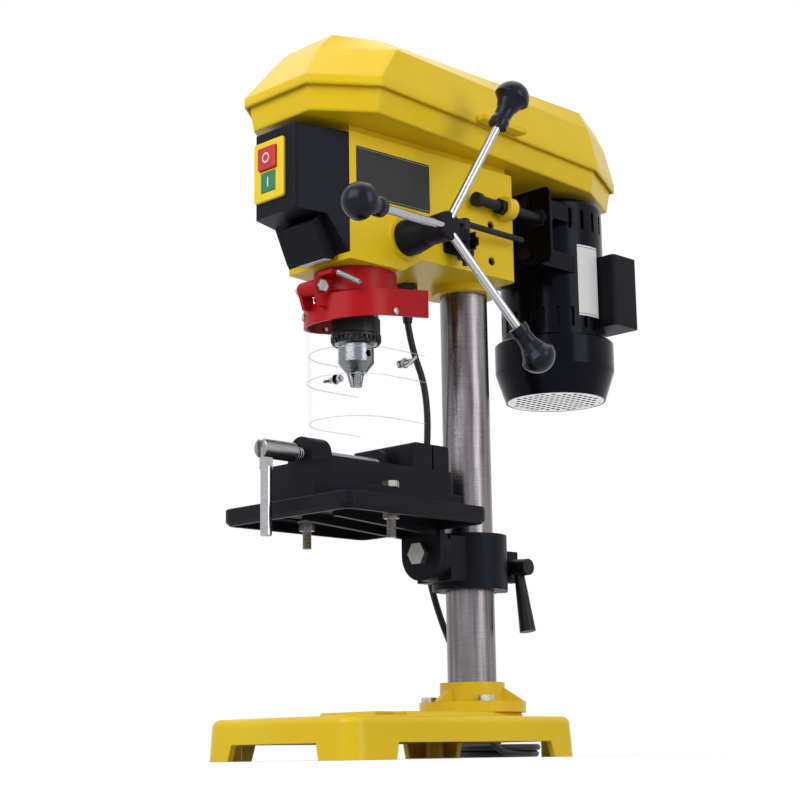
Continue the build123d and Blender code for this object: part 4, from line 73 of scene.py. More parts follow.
# six turns: three side by side on the bench, going inwards, and three on top of them, going out
COIL_X, COIL_Y, COIL_RADIUS, TURN_POINTS = -72.0, 214.0, 35.0, 16
LAYER_TURNS, LAYER_SPREAD, LOWER_LAYER, UPPER_LAYER = 3, 12.8, 3.3, 9.6
for step in range(2, 2 * LAYER_TURNS * TURN_POINTS + TURN_POINTS // 4 + 1):
    turns = step / TURN_POINTS
    if turns < LAYER_TURNS:
        ring = COIL_RADIUS + LAYER_SPREAD / 2 - LAYER_SPREAD * turns / LAYER_TURNS
        height = LOWER_LAYER
    else:
        ring = COIL_RADIUS - LAYER_SPREAD / 2 + LAYER_SPREAD * min((turns - LAYER_TURNS) / LAYER_TURNS, 1)
        height = UPPER_LAYER
    # the curve runs inside its points, so they stand a little further out
    ring /= math.cos(math.pi / TURN_POINTS)
    angle = 2 * math.pi * turns
    lead_route.append((COIL_X + ring * math.cos(angle), COIL_Y + ring * math.sin(angle), height))
lead_route += [(-92.0, 255.4, 8.4), (-100.0, 255.4, 8.0)]
lead_curve = bpy.data.curves.new("mains_lead", "CURVE")
lead_curve.dimensions = "3D"
lead_curve.bevel_depth = LEAD_DIAMETER / 2
lead_curve.bevel_resolution = 4
lead_curve.use_fill_caps = True
lead_line = lead_curve.splines.new("NURBS")
lead_line.points.add(len(lead_route) - 1)
for point, place in zip(lead_line.points, lead_route):
    point.co = (place[0] / 1000, place[1] / 1000, place[2] / 1000, 1.0)
lead_line.order_u = 3
lead_line.use_endpoint_u = True
lead_line.resolution_u = 6
lead = bpy.data.objects.new("mains_lead", lead_curve)
scene.collection.objects.link(lead)


class Socket:
    """One output in a material's nodes; arithmetic on it adds Math nodes."""

    def __init__(self, tree, link):
        self.tree = tree
        self.link = link

    def node(self, kind, out=0, settings=None, **sockets):
        """Adds a node: settings first, then the values or links of its sockets; gives one output."""
        made = self.tree.nodes.new(kind)
        for key, value in (settings or {}).items():
            setattr(made, key, value)
        for key, value in sockets.items():
            by_number = key[0] == "i" and key[1:].isdigit()
            target = made.inputs[int(key[1:]) if by_number else key.replace("_", " ")]
            if isinstance(value, Socket):
                self.tree.links.new(value.link, target)
            else:
                target.default_value = value
        return Socket(self.tree, made.outputs[out])

    def math(self, operation, first, second=0.0):
        return self.node("ShaderNodeMath", settings={"operation": operation}, i0=first, i1=second)

    def __add__(self, other):
        return self.math("ADD", self, other)

    def __sub__(self, other):
        return self.math("SUBTRACT", self, other)

    def __rsub__(self, other):
        return self.math("SUBTRACT", other, self)

    def __mul__(self, other):
        return self.math("MULTIPLY", self, other)

    def __pow__(self, other):
        return self.math("POWER", self, other)

    def __lt__(self, other):
        return self.math("LESS_THAN", self, other)

    def __gt__(self, other):
        return self.math("GREATER_THAN", self, other)

    __radd__ = __add__
    __rmul__ = __mul__

    def between(self, low, high):
        """This value brought from low..high to 0..1."""
        return self.node("ShaderNodeMapRange", i0=self, From_Min=low, From_Max=high)

    def tint(self, colour_a, colour_b):
        """Mixes two colours by this value."""
        settings = {"data_type": "RGBA"}
        return self.node("ShaderNodeMix", out=2, settings=settings, i0=self, i6=colour_a, i7=colour_b)

    def grain(self, scale, detail=2.0, stretch=(1, 1, 1)):
        """Noise over this place."""
        spread = self.node("ShaderNodeVectorMath", settings={"operation": "MULTIPLY"}, i0=self, i1=stretch)
        return self.node("ShaderNodeTexNoise", Vector=spread, Scale=scale, Detail=detail)

    def along(self, axis):
        """X, Y or Z of this place."""
        return self.node("ShaderNodeSeparateXYZ", out=axis, i0=self)


def new_finish(name):
    """A bare material and the place on the piece that its nodes start from."""
    material = bpy.data.materials.new(name)
    material.use_nodes = True
    tree = material.node_tree
    tree.nodes.clear()
    return material, Socket(tree, tree.nodes.new("ShaderNodeTexCoord").outputs["Object"])


def close_finish(place, colour, roughness, height=None, depth=0.0002, strength=0.3, edge=0.0, **constants):
    """Ends a finish in one shader.

    height is its relief, depth the step of that relief in metres, and edge how far a worn or
    painted edge is rounded.
    """
    if edge:
        constants["Normal"] = place.node("ShaderNodeBevel", settings={"samples": 6}, Radius=edge)
    if height is not None:
        rounded = {"Normal": constants.pop("Normal")} if edge else {}
        constants["Normal"] = place.node(
            "ShaderNodeBump", Strength=strength, Distance=depth, Height=height, **rounded)
    shader = place.node("ShaderNodeBsdfPrincipled", Base_Color=colour, Roughness=roughness, **constants)
    ending = place.tree.nodes.new("ShaderNodeOutputMaterial")
    place.tree.links.new(shader.link, ending.inputs["Surface"])


def coat(material, *names):
    """Puts a finish on the machine's nodes."""
    for name in names:
        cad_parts[name].data.materials.clear()
        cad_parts[name].data.materials.append(material)


def soften(degrees, *names):
    """Shades nodes smoothly over every edge flatter than an angle."""
    for name in names:
        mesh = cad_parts[name].data
        mesh.shade_smooth()
        mesh.set_sharp_from_angle(angle=math.radians(degrees))


soften(32, *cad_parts)
lead_rubber, place = new_finish("lead_rubber")
bloom = place.grain(900.0)
close_finish(
    place, place.grain(35.0).tint((0.010, 0.010, 0.011, 1), (0.020, 0.020, 0.022, 1)),
    roughness=0.42 + 0.2 * bloom, height=bloom, Specular_IOR_Level=0.3)
lead_curve.materials.append(lead_rubber)
coat(lead_rubber, "mains_plug", "cord_gland", "mains_cord", "cord_coil")
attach(lead, "frame")
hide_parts("mains_cord", "cord_coil")

# ---------------------------------------------------------------- base
# Hollow iron casting on four corner feet, with a machined pad, two clamping slots and bolt holes.
# It is fettled, filled and sprayed in gloss yellow, so the sand grain only just shows.
YELLOW = (0.800, 0.555, 0.008, 1)
YELLOW_SHADE = (0.740, 0.500, 0.006, 1)


def yellow_paint(name, sand, edge):
    """Gloss yellow; sand is how much casting grain shows under it."""
    material, place = new_finish(name)
    broad = place.grain(8.0, 3.0)
    relief = sand * place.grain(380.0, 3.0) + 0.3 * place.grain(1300.0)
    close_finish(
        place, broad.between(0.3, 0.7).tint(YELLOW, YELLOW_SHADE), roughness=0.30 + 0.12 * broad,
        height=relief, depth=0.00025, strength=0.22, edge=edge,
        Specular_IOR_Level=0.22, Coat_Weight=0.10, Coat_Roughness=0.12)
    return material


cast_yellow = yellow_paint("cast_yellow", 1.0, 0.0012)
coat(cast_yellow, "base")

# ---------------------------------------------------------------- column foot
# Round iron flange with four ribs, cast in one with the socket that grips the column.
# Four zinc-plated bolts hold it down on the base.
coat(cast_yellow, "column_foot")
zinc, place = new_finish("zinc_plate")
cloud = place.grain(150.0, 4.0)
close_finish(
    place, cloud.between(0.35, 0.65).tint((0.36, 0.36, 0.36, 1), (0.56, 0.55, 0.52, 1)),
    roughness=0.28 + 0.2 * cloud, height=place.grain(1500.0), depth=0.0001, strength=0.1, edge=0.0004,
    Metallic=1.0)
coat(zinc, "foot_bolts")

# ---------------------------------------------------------------- column
# Steel tube, 46 mm across, ground between centres and oiled. Grinding leaves fine rings, and
# upright light and dark streaks painted into its colour stand in for reflection bands.
ground_steel, place = new_finish("ground_steel")
rings = place.grain(60.0, 4.0, (1, 1, 20))
# the upright light and dark streaks in the colour are painted reflection bands; the rings add a little
# grinding tone
painted_sheen_streaks = place.grain(45.0, 3.0, (5, 5, 0.25))
rings_and_painted_sheen = (0.2 * rings + 0.8 * painted_sheen_streaks).between(0.33, 0.67)
close_finish(
    place, rings_and_painted_sheen.tint((0.095, 0.084, 0.090, 1), (0.24, 0.22, 0.235, 1)),
    roughness=0.25 + 0.06 * rings, height=rings, depth=0.0001, strength=0.02, Metallic=1.0)
coat(ground_steel, "column")

# ---------------------------------------------------------------- table bracket and clamp
# Split iron collar that slides on the column, with a tilt disc in front. A bolt with a drop
# handle closes the split. All of it is painted black, in a gloss that reflects a little blue.
COOL_GLOSS = (0.66, 0.72, 1.0, 1)
iron_black, place = new_finish("iron_black")
sand = place.grain(330.0, 4.0)
close_finish(
    place, place.grain(25.0, 3.0).tint((0.003, 0.003, 0.004, 1), (0.009, 0.009, 0.011, 1)),
    roughness=0.34 + 0.2 * sand, height=sand, depth=0.0004, strength=0.35, edge=0.0010,
    Specular_IOR_Level=0.12, Specular_Tint=COOL_GLOSS)
coat(iron_black, "table_bracket")
blacked, place = new_finish("blacked_steel")
cloud = place.grain(200.0, 3.0)
close_finish(
    place, cloud.tint((0.006, 0.006, 0.008, 1), (0.020, 0.020, 0.023, 1)),
    roughness=0.32 + 0.2 * cloud, height=place.grain(1600.0), depth=0.0001, strength=0.1, edge=0.0004,
    Metallic=0.5, Specular_IOR_Level=0.25)
coat(blacked, "clamp_lever")

# ---------------------------------------------------------------- table
# Flanged iron table with two slots, painted black all over, tilting on one bolt through its lug.
# The vise bolts show their threads below it.
coat(iron_black, "table")


def thread(place, along, across_a, across_b, pitch):
    """Relief of a screw thread: along is its axis, the other two are measured from it."""
    round_angle = place.math("ARCTAN2", across_b, across_a)
    return place.math("SINE", along * (2 * math.pi / pitch) + round_angle)


# two vise bolts, one each side of the middle, with M8 threads on the shanks under the table
VISE_BOLT_X, VISE_BOLT_Y = 0.055, -0.055
SHANK_RADIUS, SHANK_TOP, SHANK_PITCH = 0.0044, 0.2045, 0.00125
bolt_zinc, place = new_finish("bolt_zinc")
cloud = place.grain(150.0, 4.0)
from_axis = place.math("ABSOLUTE", place.along("X")) - VISE_BOLT_X
from_front = place.along("Y") - VISE_BOLT_Y
shank = from_axis * from_axis + from_front * from_front < SHANK_RADIUS ** 2
shank = shank * (place.along("Z") < SHANK_TOP)
turns_cut = thread(place, place.along("Z"), from_axis, from_front, SHANK_PITCH) * shank
# the colour is darker in the thread grooves: painted shade
close_finish(
    place, (cloud - 0.25 * (turns_cut < -0.3) * shank).tint((0.20, 0.20, 0.195, 1), (0.46, 0.45, 0.42, 1)),
    roughness=0.28 + 0.2 * cloud, height=turns_cut, depth=0.0005, strength=0.9, Metallic=1.0)
coat(bolt_zinc, "table_bolts")

# ---------------------------------------------------------------- machine vise
# Iron vise in black paint, bolted to the table. Its screw is bright steel with a coarse thread,
# and the folding handle is chrome plated.
coat(iron_black, "vise_body", "vise_jaw")
VISE_SCREW_Z, VISE_THREAD_START, VISE_THREAD_PITCH = 0.264, -0.119, 0.0025
screw_steel, place = new_finish("screw_steel")
above_axis = place.along("Z") - VISE_SCREW_Z
cut = thread(place, place.along("Y"), place.along("X"), above_axis, VISE_THREAD_PITCH)
cut = cut * (place.along("Y") > VISE_THREAD_START)
# the colour is near black in the thread grooves and bright on the crests: painted shade in the grooves
close_finish(
    place, cut.between(-0.7, 0.7).tint((0.03, 0.03, 0.035, 1), (0.55, 0.55, 0.56, 1)),
    roughness=0.26 + 0.15 * place.grain(300.0), height=cut, depth=0.0006, strength=0.9, Metallic=1.0)
coat(screw_steel, "vise_screw")
chrome, place = new_finish("chrome_plate")
mist = place.grain(260.0, 3.0)
close_finish(
    place, mist.tint((0.30, 0.31, 0.33, 1), (0.48, 0.49, 0.51, 1)),
    roughness=0.10 + 0.1 * mist, height=mist, depth=0.00008, strength=0.05, Metallic=1.0)
coat(chrome, "vise_handle")

# ---------------------------------------------------------------- head
# The big iron casting that holds column, quill and motor bars, painted like the base.
# Blacked socket screws lock the column and the belt case.
coat(cast_yellow, "head_casting")
coat(blacked, "head_screws")


def add_piece(name, shape, material, body):
    """Makes a finished bmesh into a piece of the machine."""
    bmesh.ops.remove_doubles(shape, verts=shape.verts, dist=0.00001)
    bmesh.ops.recalc_face_normals(shape, faces=shape.faces)
    mesh = bpy.data.meshes.new(name)
    shape.to_mesh(mesh)
    shape.free()
    mesh.shade_smooth()
    mesh.set_sharp_from_angle(angle=math.radians(35))
    piece = bpy.data.objects.new(name, mesh)
    scene.collection.objects.link(piece)
    mesh.materials.append(material)
    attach(piece, body)
    return piece


def rounded_corners(width, height, corner, steps=5):
    """Outline of a plate with round corners, about its middle."""
    points = []
    for quarter, (side, rise) in enumerate(((1, 1), (-1, 1), (-1, -1), (1, -1))):
        for step in range(steps + 1):
            angle = math.pi / 2 * (quarter + step / steps)
            points.append((side * (width / 2 - corner) + corner * math.cos(angle),
                           rise * (height / 2 - corner) + corner * math.sin(angle)))
    return points


def join_loops(shape, loops):
    """Faces between each closed loop of points and the next."""
    for lower, upper in zip(loops[:-1], loops[1:]):
        for index in range(len(lower)):
            after = (index + 1) % len(lower)
            shape.faces.new((lower[index], lower[after], upper[after], upper[index]))


def close_ends(shape, loops):
    """A face over the last loop and one under the first."""
    shape.faces.new(loops[-1])
    shape.faces.new(list(reversed(loops[0])))


def plate_shape(points, spot, thickness, bevel):
    """Plate through an outline: spot gives the place of a point at a height over the surface."""
    shape = bmesh.new()
    top_shrink = 1 - bevel / max(abs(point[0]) for point in points)
    rows = []
    for height, shrink in ((0.0, 1.0), (thickness - bevel, 1.0), (thickness, top_shrink)):
        rows.append([shape.verts.new(spot(a * shrink, b * shrink, height)) for a, b in points])
    join_loops(shape, rows)
    close_ends(shape, rows)
    return shape


# data plate: thin blank aluminium, black anodised with a bright edge line, glued to the right flank
FLANK_START_X, FLANK_START_Y, FLANK_SPREAD, FLANK_LENGTH = 0.041, -0.088, 0.013, 0.210
PLATE_Y, PLATE_Z, PLATE_WIDTH, PLATE_HEIGHT, PLATE_CORNER = -0.0355, 0.5215, 0.089, 0.047, 0.0015
FLARE = math.atan2(FLANK_SPREAD, FLANK_LENGTH)


def on_flank(a, b, height):
    """Place on the head's flared right flank, along it, up it and out from it."""
    y = PLATE_Y + a * math.cos(FLARE)
    x = FLANK_START_X + FLANK_SPREAD * (y - FLANK_START_Y) / FLANK_LENGTH
    return (x + height * math.cos(FLARE), y - height * math.sin(FLARE), PLATE_Z + b)


plate_black, place = new_finish("plate_black")
flow = place.grain(400.0, 2.0, (1, 8, 1))
line = place.math("ABSOLUTE", place.along("Z") - PLATE_Z)
rule = (line > 0.0216) * (line < 0.0221)
close_finish(
    place, (rule * 0.8 + 0.2 * flow).tint((0.004, 0.004, 0.005, 1), (0.30, 0.30, 0.30, 1)),
    roughness=0.36 + 0.1 * flow, height=flow, depth=0.00005, strength=0.1, Specular_IOR_Level=0.15)
plate_outline = rounded_corners(PLATE_WIDTH, PLATE_HEIGHT, PLATE_CORNER)
data_plate = plate_shape(plate_outline, on_flank, thickness=0.0006, bevel=0.0002)
add_piece("data_plate", data_plate, plate_black, "frame")

# ---------------------------------------------------------------- switch and work light
# Black moulded housing screwed to the head's front, with a yellow frame round the two push
# buttons and a lamp in the wedge below. Its walls have a fine eroded texture.
moulding, place = new_finish("black_moulding")
spark = place.grain(1000.0, 2.0)
close_finish(
    place, place.grain(28.0).tint((0.004, 0.004, 0.005, 1), (0.009, 0.009, 0.011, 1)),
    roughness=0.38 + 0.15 * spark, height=spark, depth=0.0002, strength=0.3, edge=0.0010,
    Specular_IOR_Level=0.11, Specular_Tint=COOL_GLOSS)
coat(moulding, "switch_housing", "work_light")
frame_yellow, place = new_finish("yellow_moulding")
soft = place.grain(60.0)
close_finish(
    place, soft.tint((0.86, 0.64, 0.015, 1), (0.82, 0.60, 0.010, 1)),
    roughness=0.26 + 0.1 * soft, height=soft, depth=0.0002, strength=0.08, edge=0.0008,
    Specular_IOR_Level=0.4)
coat(frame_yellow, "switch_frame")
pale_mark, place = new_finish("pale_mark")
chalk = place.grain(500.0)
close_finish(
    place, chalk.tint((0.60, 0.60, 0.60, 1), (0.70, 0.70, 0.70, 1)),
    roughness=0.4 + 0.1 * chalk, height=chalk, depth=0.0001, strength=0.05)
# each button's height, the place of its face, its two reds or greens, and its mark's half width and
# inner radius; the mark stands proud of the face and is sunk into it by the same amount
BUTTON_X, MARK_STANDS, RING_SIDES = -0.0055, 0.0002, 28
BUTTONS = (
    ("stop_button", 0.5295, -0.147, (0.47, 0.004, 0.012, 1), (0.56, 0.007, 0.017, 1), 0.0048, 0.0034),
    ("start_button", 0.5075, -0.1446, (0.004, 0.16, 0.075, 1), (0.008, 0.21, 0.10, 1), 0.0008, 0.0),
)
for cap, centre_z, face_y, colour_a, colour_b, outer, inner in BUTTONS:
    cap_finish, place = new_finish(cap + "_plastic")
    soft = place.grain(80.0)
    close_finish(
        place, soft.tint(colour_a, colour_b), roughness=0.24 + 0.1 * soft,
        height=soft, depth=0.0002, strength=0.05, edge=0.0008,
        Specular_IOR_Level=0.4, Coat_Weight=0.2, Coat_Roughness=0.1)
    coat(cap_finish, cap)
    if inner:
        # the ring inlaid in the stop button
        angles = [2 * math.pi * n / RING_SIDES for n in range(RING_SIDES)]
        directions = [(math.cos(angle), math.sin(angle)) for angle in angles]
        back, front = face_y + MARK_STANDS, face_y - MARK_STANDS
        shape = bmesh.new()
        loops = []
        for radius, y in ((inner, back), (inner, front), (outer, front), (outer, back)):
            loops.append([
                shape.verts.new((BUTTON_X + radius * across, y, centre_z + radius * up))
                for across, up in directions])
        join_loops(shape, loops + loops[:1])
    else:
        # the bar inlaid in the start button
        def on_start_face(a, b, height):
            return (BUTTON_X + a, face_y - height + MARK_STANDS, centre_z + b)

        shape = plate_shape(rounded_corners(2 * outer, 0.0095, 0.0006), on_start_face,
                            thickness=2 * MARK_STANDS, bevel=0.0001)
    add_piece(cap + "_mark", shape, pale_mark, cap)

# lamp lens: frosted strip let into the wedge's underside
LENS_X, LENS_Y, LENS_Z, LENS_SLOPE = 0.007, -0.0995, 0.4384, 0.09


def under_wedge(a, b, height):
    """Place on the wedge's sloping underside, across it, along it and down from it."""
    return (LENS_X + a, LENS_Y + b, LENS_Z + LENS_SLOPE * b - height)


lens_frost, place = new_finish("frosted_lens")
ribs = place.math("SINE", place.along("X") * 4000.0)
close_finish(
    place, ribs.between(-1, 1).tint((0.62, 0.64, 0.66, 1), (0.74, 0.76, 0.78, 1)),
    roughness=0.25 + 0.05 * ribs, height=ribs, depth=0.0002, strength=0.5)
lens = plate_shape(rounded_corners(0.034, 0.0075, 0.001), under_wedge, thickness=0.0008, bevel=0.0003)
add_piece("lamp_lens", lens, lens_frost, "frame")

# ---------------------------------------------------------------- key holder and chuck key
# Rubbery black socket on the right flank that keeps the blacked T-handled chuck key.
coat(moulding, "key_holder")
coat(blacked, "chuck_key")

# ---------------------------------------------------------------- belt case
# Two pressed-steel shells in gloss yellow. The tray is screwed to the head, and the lid turns
# on two pins at the left. The pressed bends are soft.
sheet_yellow = yellow_paint("sheet_yellow", 0.12, 0.0055)
coat(sheet_yellow, "belt_case_tray", "belt_case_lid")

# ---------------------------------------------------------------- pulleys and belt
# Die-cast five-step pulleys with turned grooves, and a wrapped rubber V-belt.
turned_alloy, place = new_finish("turned_alloy")
turning = place.grain(90.0, 3.0, (1, 1, 40))
close_finish(
    place, turning.tint((0.46, 0.46, 0.47, 1), (0.66, 0.66, 0.67, 1)),
    roughness=0.30 + 0.2 * turning, height=turning, depth=0.0001, strength=0.2, edge=0.0003, Metallic=1.0)
coat(turned_alloy, "spindle_pulley", "motor_pulley")
belt_rubber, place = new_finish("belt_rubber")
weave = place.math("SINE", place.along("Y") * 5200.0) * place.math("SINE", place.along("Z") * 5200.0)
close_finish(
    place, weave.between(-1, 1).tint((0.010, 0.010, 0.010, 1), (0.026, 0.025, 0.024, 1)),
    roughness=0.62 + 0.1 * weave, height=weave, depth=0.0002, strength=0.4, Specular_IOR_Level=0.3)
coat(belt_rubber, "v_belt")

# ---------------------------------------------------------------- quill, spindle and bearings
# Ground steel quill with rack teeth, ball bearings and a splined spindle.
bright_steel, place = new_finish("bright_steel")
turning = place.grain(110.0, 3.0, (1, 1, 30))
close_finish(
    place, turning.tint((0.30, 0.30, 0.31, 1), (0.50, 0.50, 0.51, 1)),
    roughness=0.22 + 0.18 * turning, height=turning, depth=0.0001, strength=0.15, edge=0.0003, Metallic=1.0)
coat(bright_steel, "quill", "quill_bearings", "spindle", "pinion_shaft", "motor_shaft")

# ---------------------------------------------------------------- chuck
# Keyed three-jaw chuck: turned body, toothed sleeve in darker hardened steel, three bright jaws.
chuck_steel, place = new_finish("chuck_steel")
turning = place.grain(130.0, 3.0, (1, 1, 40))
close_finish(
    place, turning.tint((0.10, 0.105, 0.12, 1), (0.30, 0.315, 0.345, 1)),
    roughness=0.18 + 0.16 * turning, height=turning, depth=0.0001, strength=0.2, edge=0.0003, Metallic=1.0)
coat(chuck_steel, "chuck_body", "chuck_jaw_1", "chuck_jaw_2", "chuck_jaw_3")
sleeve_steel, place = new_finish("sleeve_steel")
turning = place.grain(160.0, 3.0, (1, 1, 20))
close_finish(
    place, turning.tint((0.012, 0.012, 0.014, 1), (0.050, 0.050, 0.055, 1)),
    roughness=0.30 + 0.2 * turning, height=turning, depth=0.0001, strength=0.2, edge=0.0003,
    Metallic=0.7, Specular_IOR_Level=0.2)
coat(sleeve_steel, "chuck_sleeve")

# ---------------------------------------------------------------- feed hub, levers and return spring
# Black turned hub on the toothed shaft, three chrome rods and gloss black knobs. A flat spiral
# spring under a black cap on the far side lifts the quill.
coat(iron_black, "feed_hub")
coat(chrome, "feed_levers")
knob_gloss, place = new_finish("knob_gloss")
flow = place.grain(60.0)
close_finish(
    place, flow.tint((0.003, 0.003, 0.004, 1), (0.006, 0.006, 0.008, 1)),
    roughness=0.20 + 0.1 * flow, height=flow, depth=0.0002, strength=0.05, edge=0.0006,
    Specular_IOR_Level=0.24, Specular_Tint=COOL_GLOSS)
coat(knob_gloss, "lever_knobs")
soften(60, "lever_knobs")
coat(blacked, "return_spring")
coat(moulding, "return_spring_cap")

# ---------------------------------------------------------------- chuck guard
# Red moulded collar clamped to the quill boss and a drum that swings up on it, with a clear
# window and a clear shield that slides behind two thumb screws.
guard_red, place = new_finish("red_moulding")
flow = place.grain(500.0)
close_finish(
    place, place.grain(30.0).tint((0.36, 0.003, 0.008, 1), (0.46, 0.004, 0.011, 1)),
    roughness=0.28 + 0.15 * flow, height=flow, depth=0.0003, strength=0.12, edge=0.0008,
    Specular_IOR_Level=0.16)
coat(guard_red, "guard_collar", "guard_drum")
coat(zinc, "guard_bolts", "guard_screws")
coat(bright_steel, "guard_spring")


def turned(shape, spot, axis, steps, sides=18):
    """Adds a solid of revolution to a bmesh: each step is a distance along its axis and a radius."""
    axis = Vector(axis).normalized()
    across = axis.orthogonal().normalized()
    other = axis.cross(across)
    angles = [2 * math.pi * n / sides for n in range(sides)]
    rings = []
    for reach, radius in steps:
        centre = Vector(spot) + axis * reach
        rings.append([
            shape.verts.new(centre + (across * math.cos(angle) + other * math.sin(angle)) * radius)
            for angle in angles])
    join_loops(shape, rings)
    close_ends(shape, rings)


# small pan-head screws round the drum, and a T-handled screw at each side for the shield
DRUM_SCREW_CENTRE = (0, -0.043, 0.396)
DRUM_SCREW = (
    (0.0442, 0.002), (0.0481, 0.002), (0.0481, 0.0034),
    (0.0492, 0.0034), (0.0499, 0.0024), (0.0501, 0.0006),
)
SHIELD_SCREW_Y, SHIELD_SCREW_Z, BAR_X, BAR_LENGTH = -0.026, 0.350, 0.0535, 0.018
SHIELD_SCREW = (
    (0.0372, 0.002), (0.0389, 0.002), (0.0389, 0.0036), (0.0418, 0.0036), (0.0418, 0.002),
    (0.0456, 0.002), (0.0456, 0.0048), (0.0466, 0.0048), (0.0466, 0.0030), (0.0540, 0.0028),
)
BAR_ENDS = ((0, 0.0011), (0.0006, 0.0016), (0.0174, 0.0016), (BAR_LENGTH, 0.0011))
shape = bmesh.new()
for degrees in (5.0, 175.0, -122.0):
    outward = (math.cos(math.radians(degrees)), math.sin(math.radians(degrees)), 0)
    turned(shape, DRUM_SCREW_CENTRE, outward, DRUM_SCREW)
for side, lean in ((1, 0.72), (-1, 0.25)):
    turned(shape, (0, SHIELD_SCREW_Y, SHIELD_SCREW_Z), (side, 0, 0), SHIELD_SCREW)
    bar = Vector((0, math.cos(lean), math.sin(lean)))
    bar_middle = Vector((side * BAR_X, SHIELD_SCREW_Y, SHIELD_SCREW_Z))
    turned(shape, bar_middle - bar * BAR_LENGTH / 2, bar, BAR_ENDS)
screws = add_piece("guard_t_screws", shape, bright_steel, "guard")
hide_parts("guard_screws")

# close-wound pull spring with a straight tail at each end
SPRING_WIRE, SPRING_COIL, SPRING_TURNS, SPRING_LENGTH, SPRING_TAIL = 0.0006, 0.0024, 17, 0.026, 0.002
STEPS_A_TURN, WIRE_SIDES = 12, 6
spring_axis = Vector((21, 17, -14)).normalized()
spring_side = spring_axis.orthogonal().normalized()
spring_foot = Vector((0.026, -0.092, 0.428))
line = [spring_foot]
for step in range(SPRING_TURNS * STEPS_A_TURN + 1):
    wound = (SPRING_LENGTH - 2 * SPRING_TAIL) * step / (SPRING_TURNS * STEPS_A_TURN)
    around = Matrix.Rotation(2 * math.pi * step / STEPS_A_TURN, 3, spring_axis)
    line.append(spring_foot + spring_axis * (SPRING_TAIL + wound) + around @ spring_side * SPRING_COIL)
line.append(spring_foot + spring_axis * SPRING_LENGTH)
shape = bmesh.new()
across = spring_side
rings = []
for index, point in enumerate(line):
    along = (line[min(index + 1, len(line) - 1)] - line[max(index - 1, 0)]).normalized()
    across = (across - along * across.dot(along)).normalized()
    ring = []
    for n in range(WIRE_SIDES):
        around = Matrix.Rotation(2 * math.pi * n / WIRE_SIDES, 3, along)
        ring.append(shape.verts.new(point + around @ across * SPRING_WIRE))
    rings.append(ring)
join_loops(shape, rings)
close_ends(shape, rings)
spring = add_piece("guard_pull_spring", shape, bright_steel, "frame")
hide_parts("guard_spring")


def clear_plastic(name, *rims):
    """Clear acrylic, seen only where the eye grazes it and at its sawn edges.

    rims are the heights of those edges, which show as thin grey lines.
    """
    rim_half_width = 0.0007
    material, place = new_finish(name)
    graze = place.node("ShaderNodeLayerWeight", out="Facing", Blend=0.35)
    smear = place.grain(30.0, 3.0)
    alpha = 0.30 * graze.between(0.45, 1.0) ** 2.0
    for height in rims:
        alpha = alpha + 0.34 * (place.math("ABSOLUTE", place.along("Z") - height) < rim_half_width)
    close_finish(
        place, smear.tint((0.42, 0.44, 0.46, 1), (0.56, 0.58, 0.60, 1)),
        roughness=0.05 + 0.04 * smear, Alpha=alpha, IOR=1.49)
    return material


coat(clear_plastic("clear_window", 0.336), "guard_window")
coat(clear_plastic("clear_shield", 0.298, 0.362), "guard_shield")

# ---------------------------------------------------------------- motor
# Induction motor hung on a steel plate that slides on two bars. Black gloss shell with cooling
# slots, a pressed fan cover, a capacitor box and a pale perforated grille underneath.
motor_black, place = new_finish("motor_black")
peel = place.grain(650.0)
close_finish(
    place, place.grain(18.0).tint((0.0018, 0.0018, 0.0025, 1), (0.0035, 0.0035, 0.005, 1)),
    roughness=0.17 + 0.08 * peel, height=peel, depth=0.0003, strength=0.12, edge=0.0008,
    Specular_IOR_Level=0.10, Specular_Tint=COOL_GLOSS)
coat(motor_black, "motor_body", "fan_cover", "motor_plate")
coat(blacked, "slide_bars", "motor_bolts")
coat(moulding, "capacitor_box", "cooling_fan", "fan_grille")
grille_zinc, place = new_finish("pale_grille")
cloud = place.grain(300.0)
close_finish(
    place, cloud.tint((0.84, 0.84, 0.86, 1), (0.94, 0.94, 0.96, 1)),
    roughness=0.36 + 0.1 * cloud, height=cloud, depth=0.0002, strength=0.05, Metallic=0.7)
# thin sheet with round holes on a square grid, blank near its edge, inside a plain rim
MOTOR_Y = 0.239
GRILLE_RADIUS, GRILLE_Z, GRILLE_THICKNESS = 0.0492, 0.3562, 0.0003
RIM_WIDTH, RIM_BELOW, RIM_ABOVE, RIM_SIDES = 0.0030, 0.0001, 0.0013, 64
CELL, CELLS_OUT, HOLE_RADIUS, HOLES_END, HOLE_SIDES = 0.0078, 6, 0.0026, 0.0435, 16
shape = bmesh.new()
angles = [2 * math.pi * n / HOLE_SIDES for n in range(HOLE_SIDES)]
directions = [(math.cos(angle), math.sin(angle)) for angle in angles]
for row in range(-CELLS_OUT, CELLS_OUT + 1):
    for column in range(-CELLS_OUT, CELLS_OUT + 1):
        from_centre = math.hypot(column * CELL, row * CELL)
        if from_centre > GRILLE_RADIUS:
            continue
        # the cell's square edge, with its points in the hole's directions and none past the rim
        cell_edge = []
        for a, b in directions:
            square = CELL / 2 / max(abs(a), abs(b))
            x, y = column * CELL + a * square, row * CELL + b * square
            pulled_in = min(1.0, (GRILLE_RADIUS - RIM_WIDTH / 2) / max(math.hypot(x, y), 0.001))
            cell_edge.append(shape.verts.new((x * pulled_in, MOTOR_Y + y * pulled_in, GRILLE_Z)))
        if from_centre > HOLES_END:
            shape.faces.new(cell_edge)
            continue
        hole = []
        for a, b in directions:
            x, y = column * CELL + a * HOLE_RADIUS, row * CELL + b * HOLE_RADIUS
            hole.append(shape.verts.new((x, MOTOR_Y + y, GRILLE_Z)))
        join_loops(shape, [cell_edge, hole])
bmesh.ops.remove_doubles(shape, verts=shape.verts, dist=0.00001)
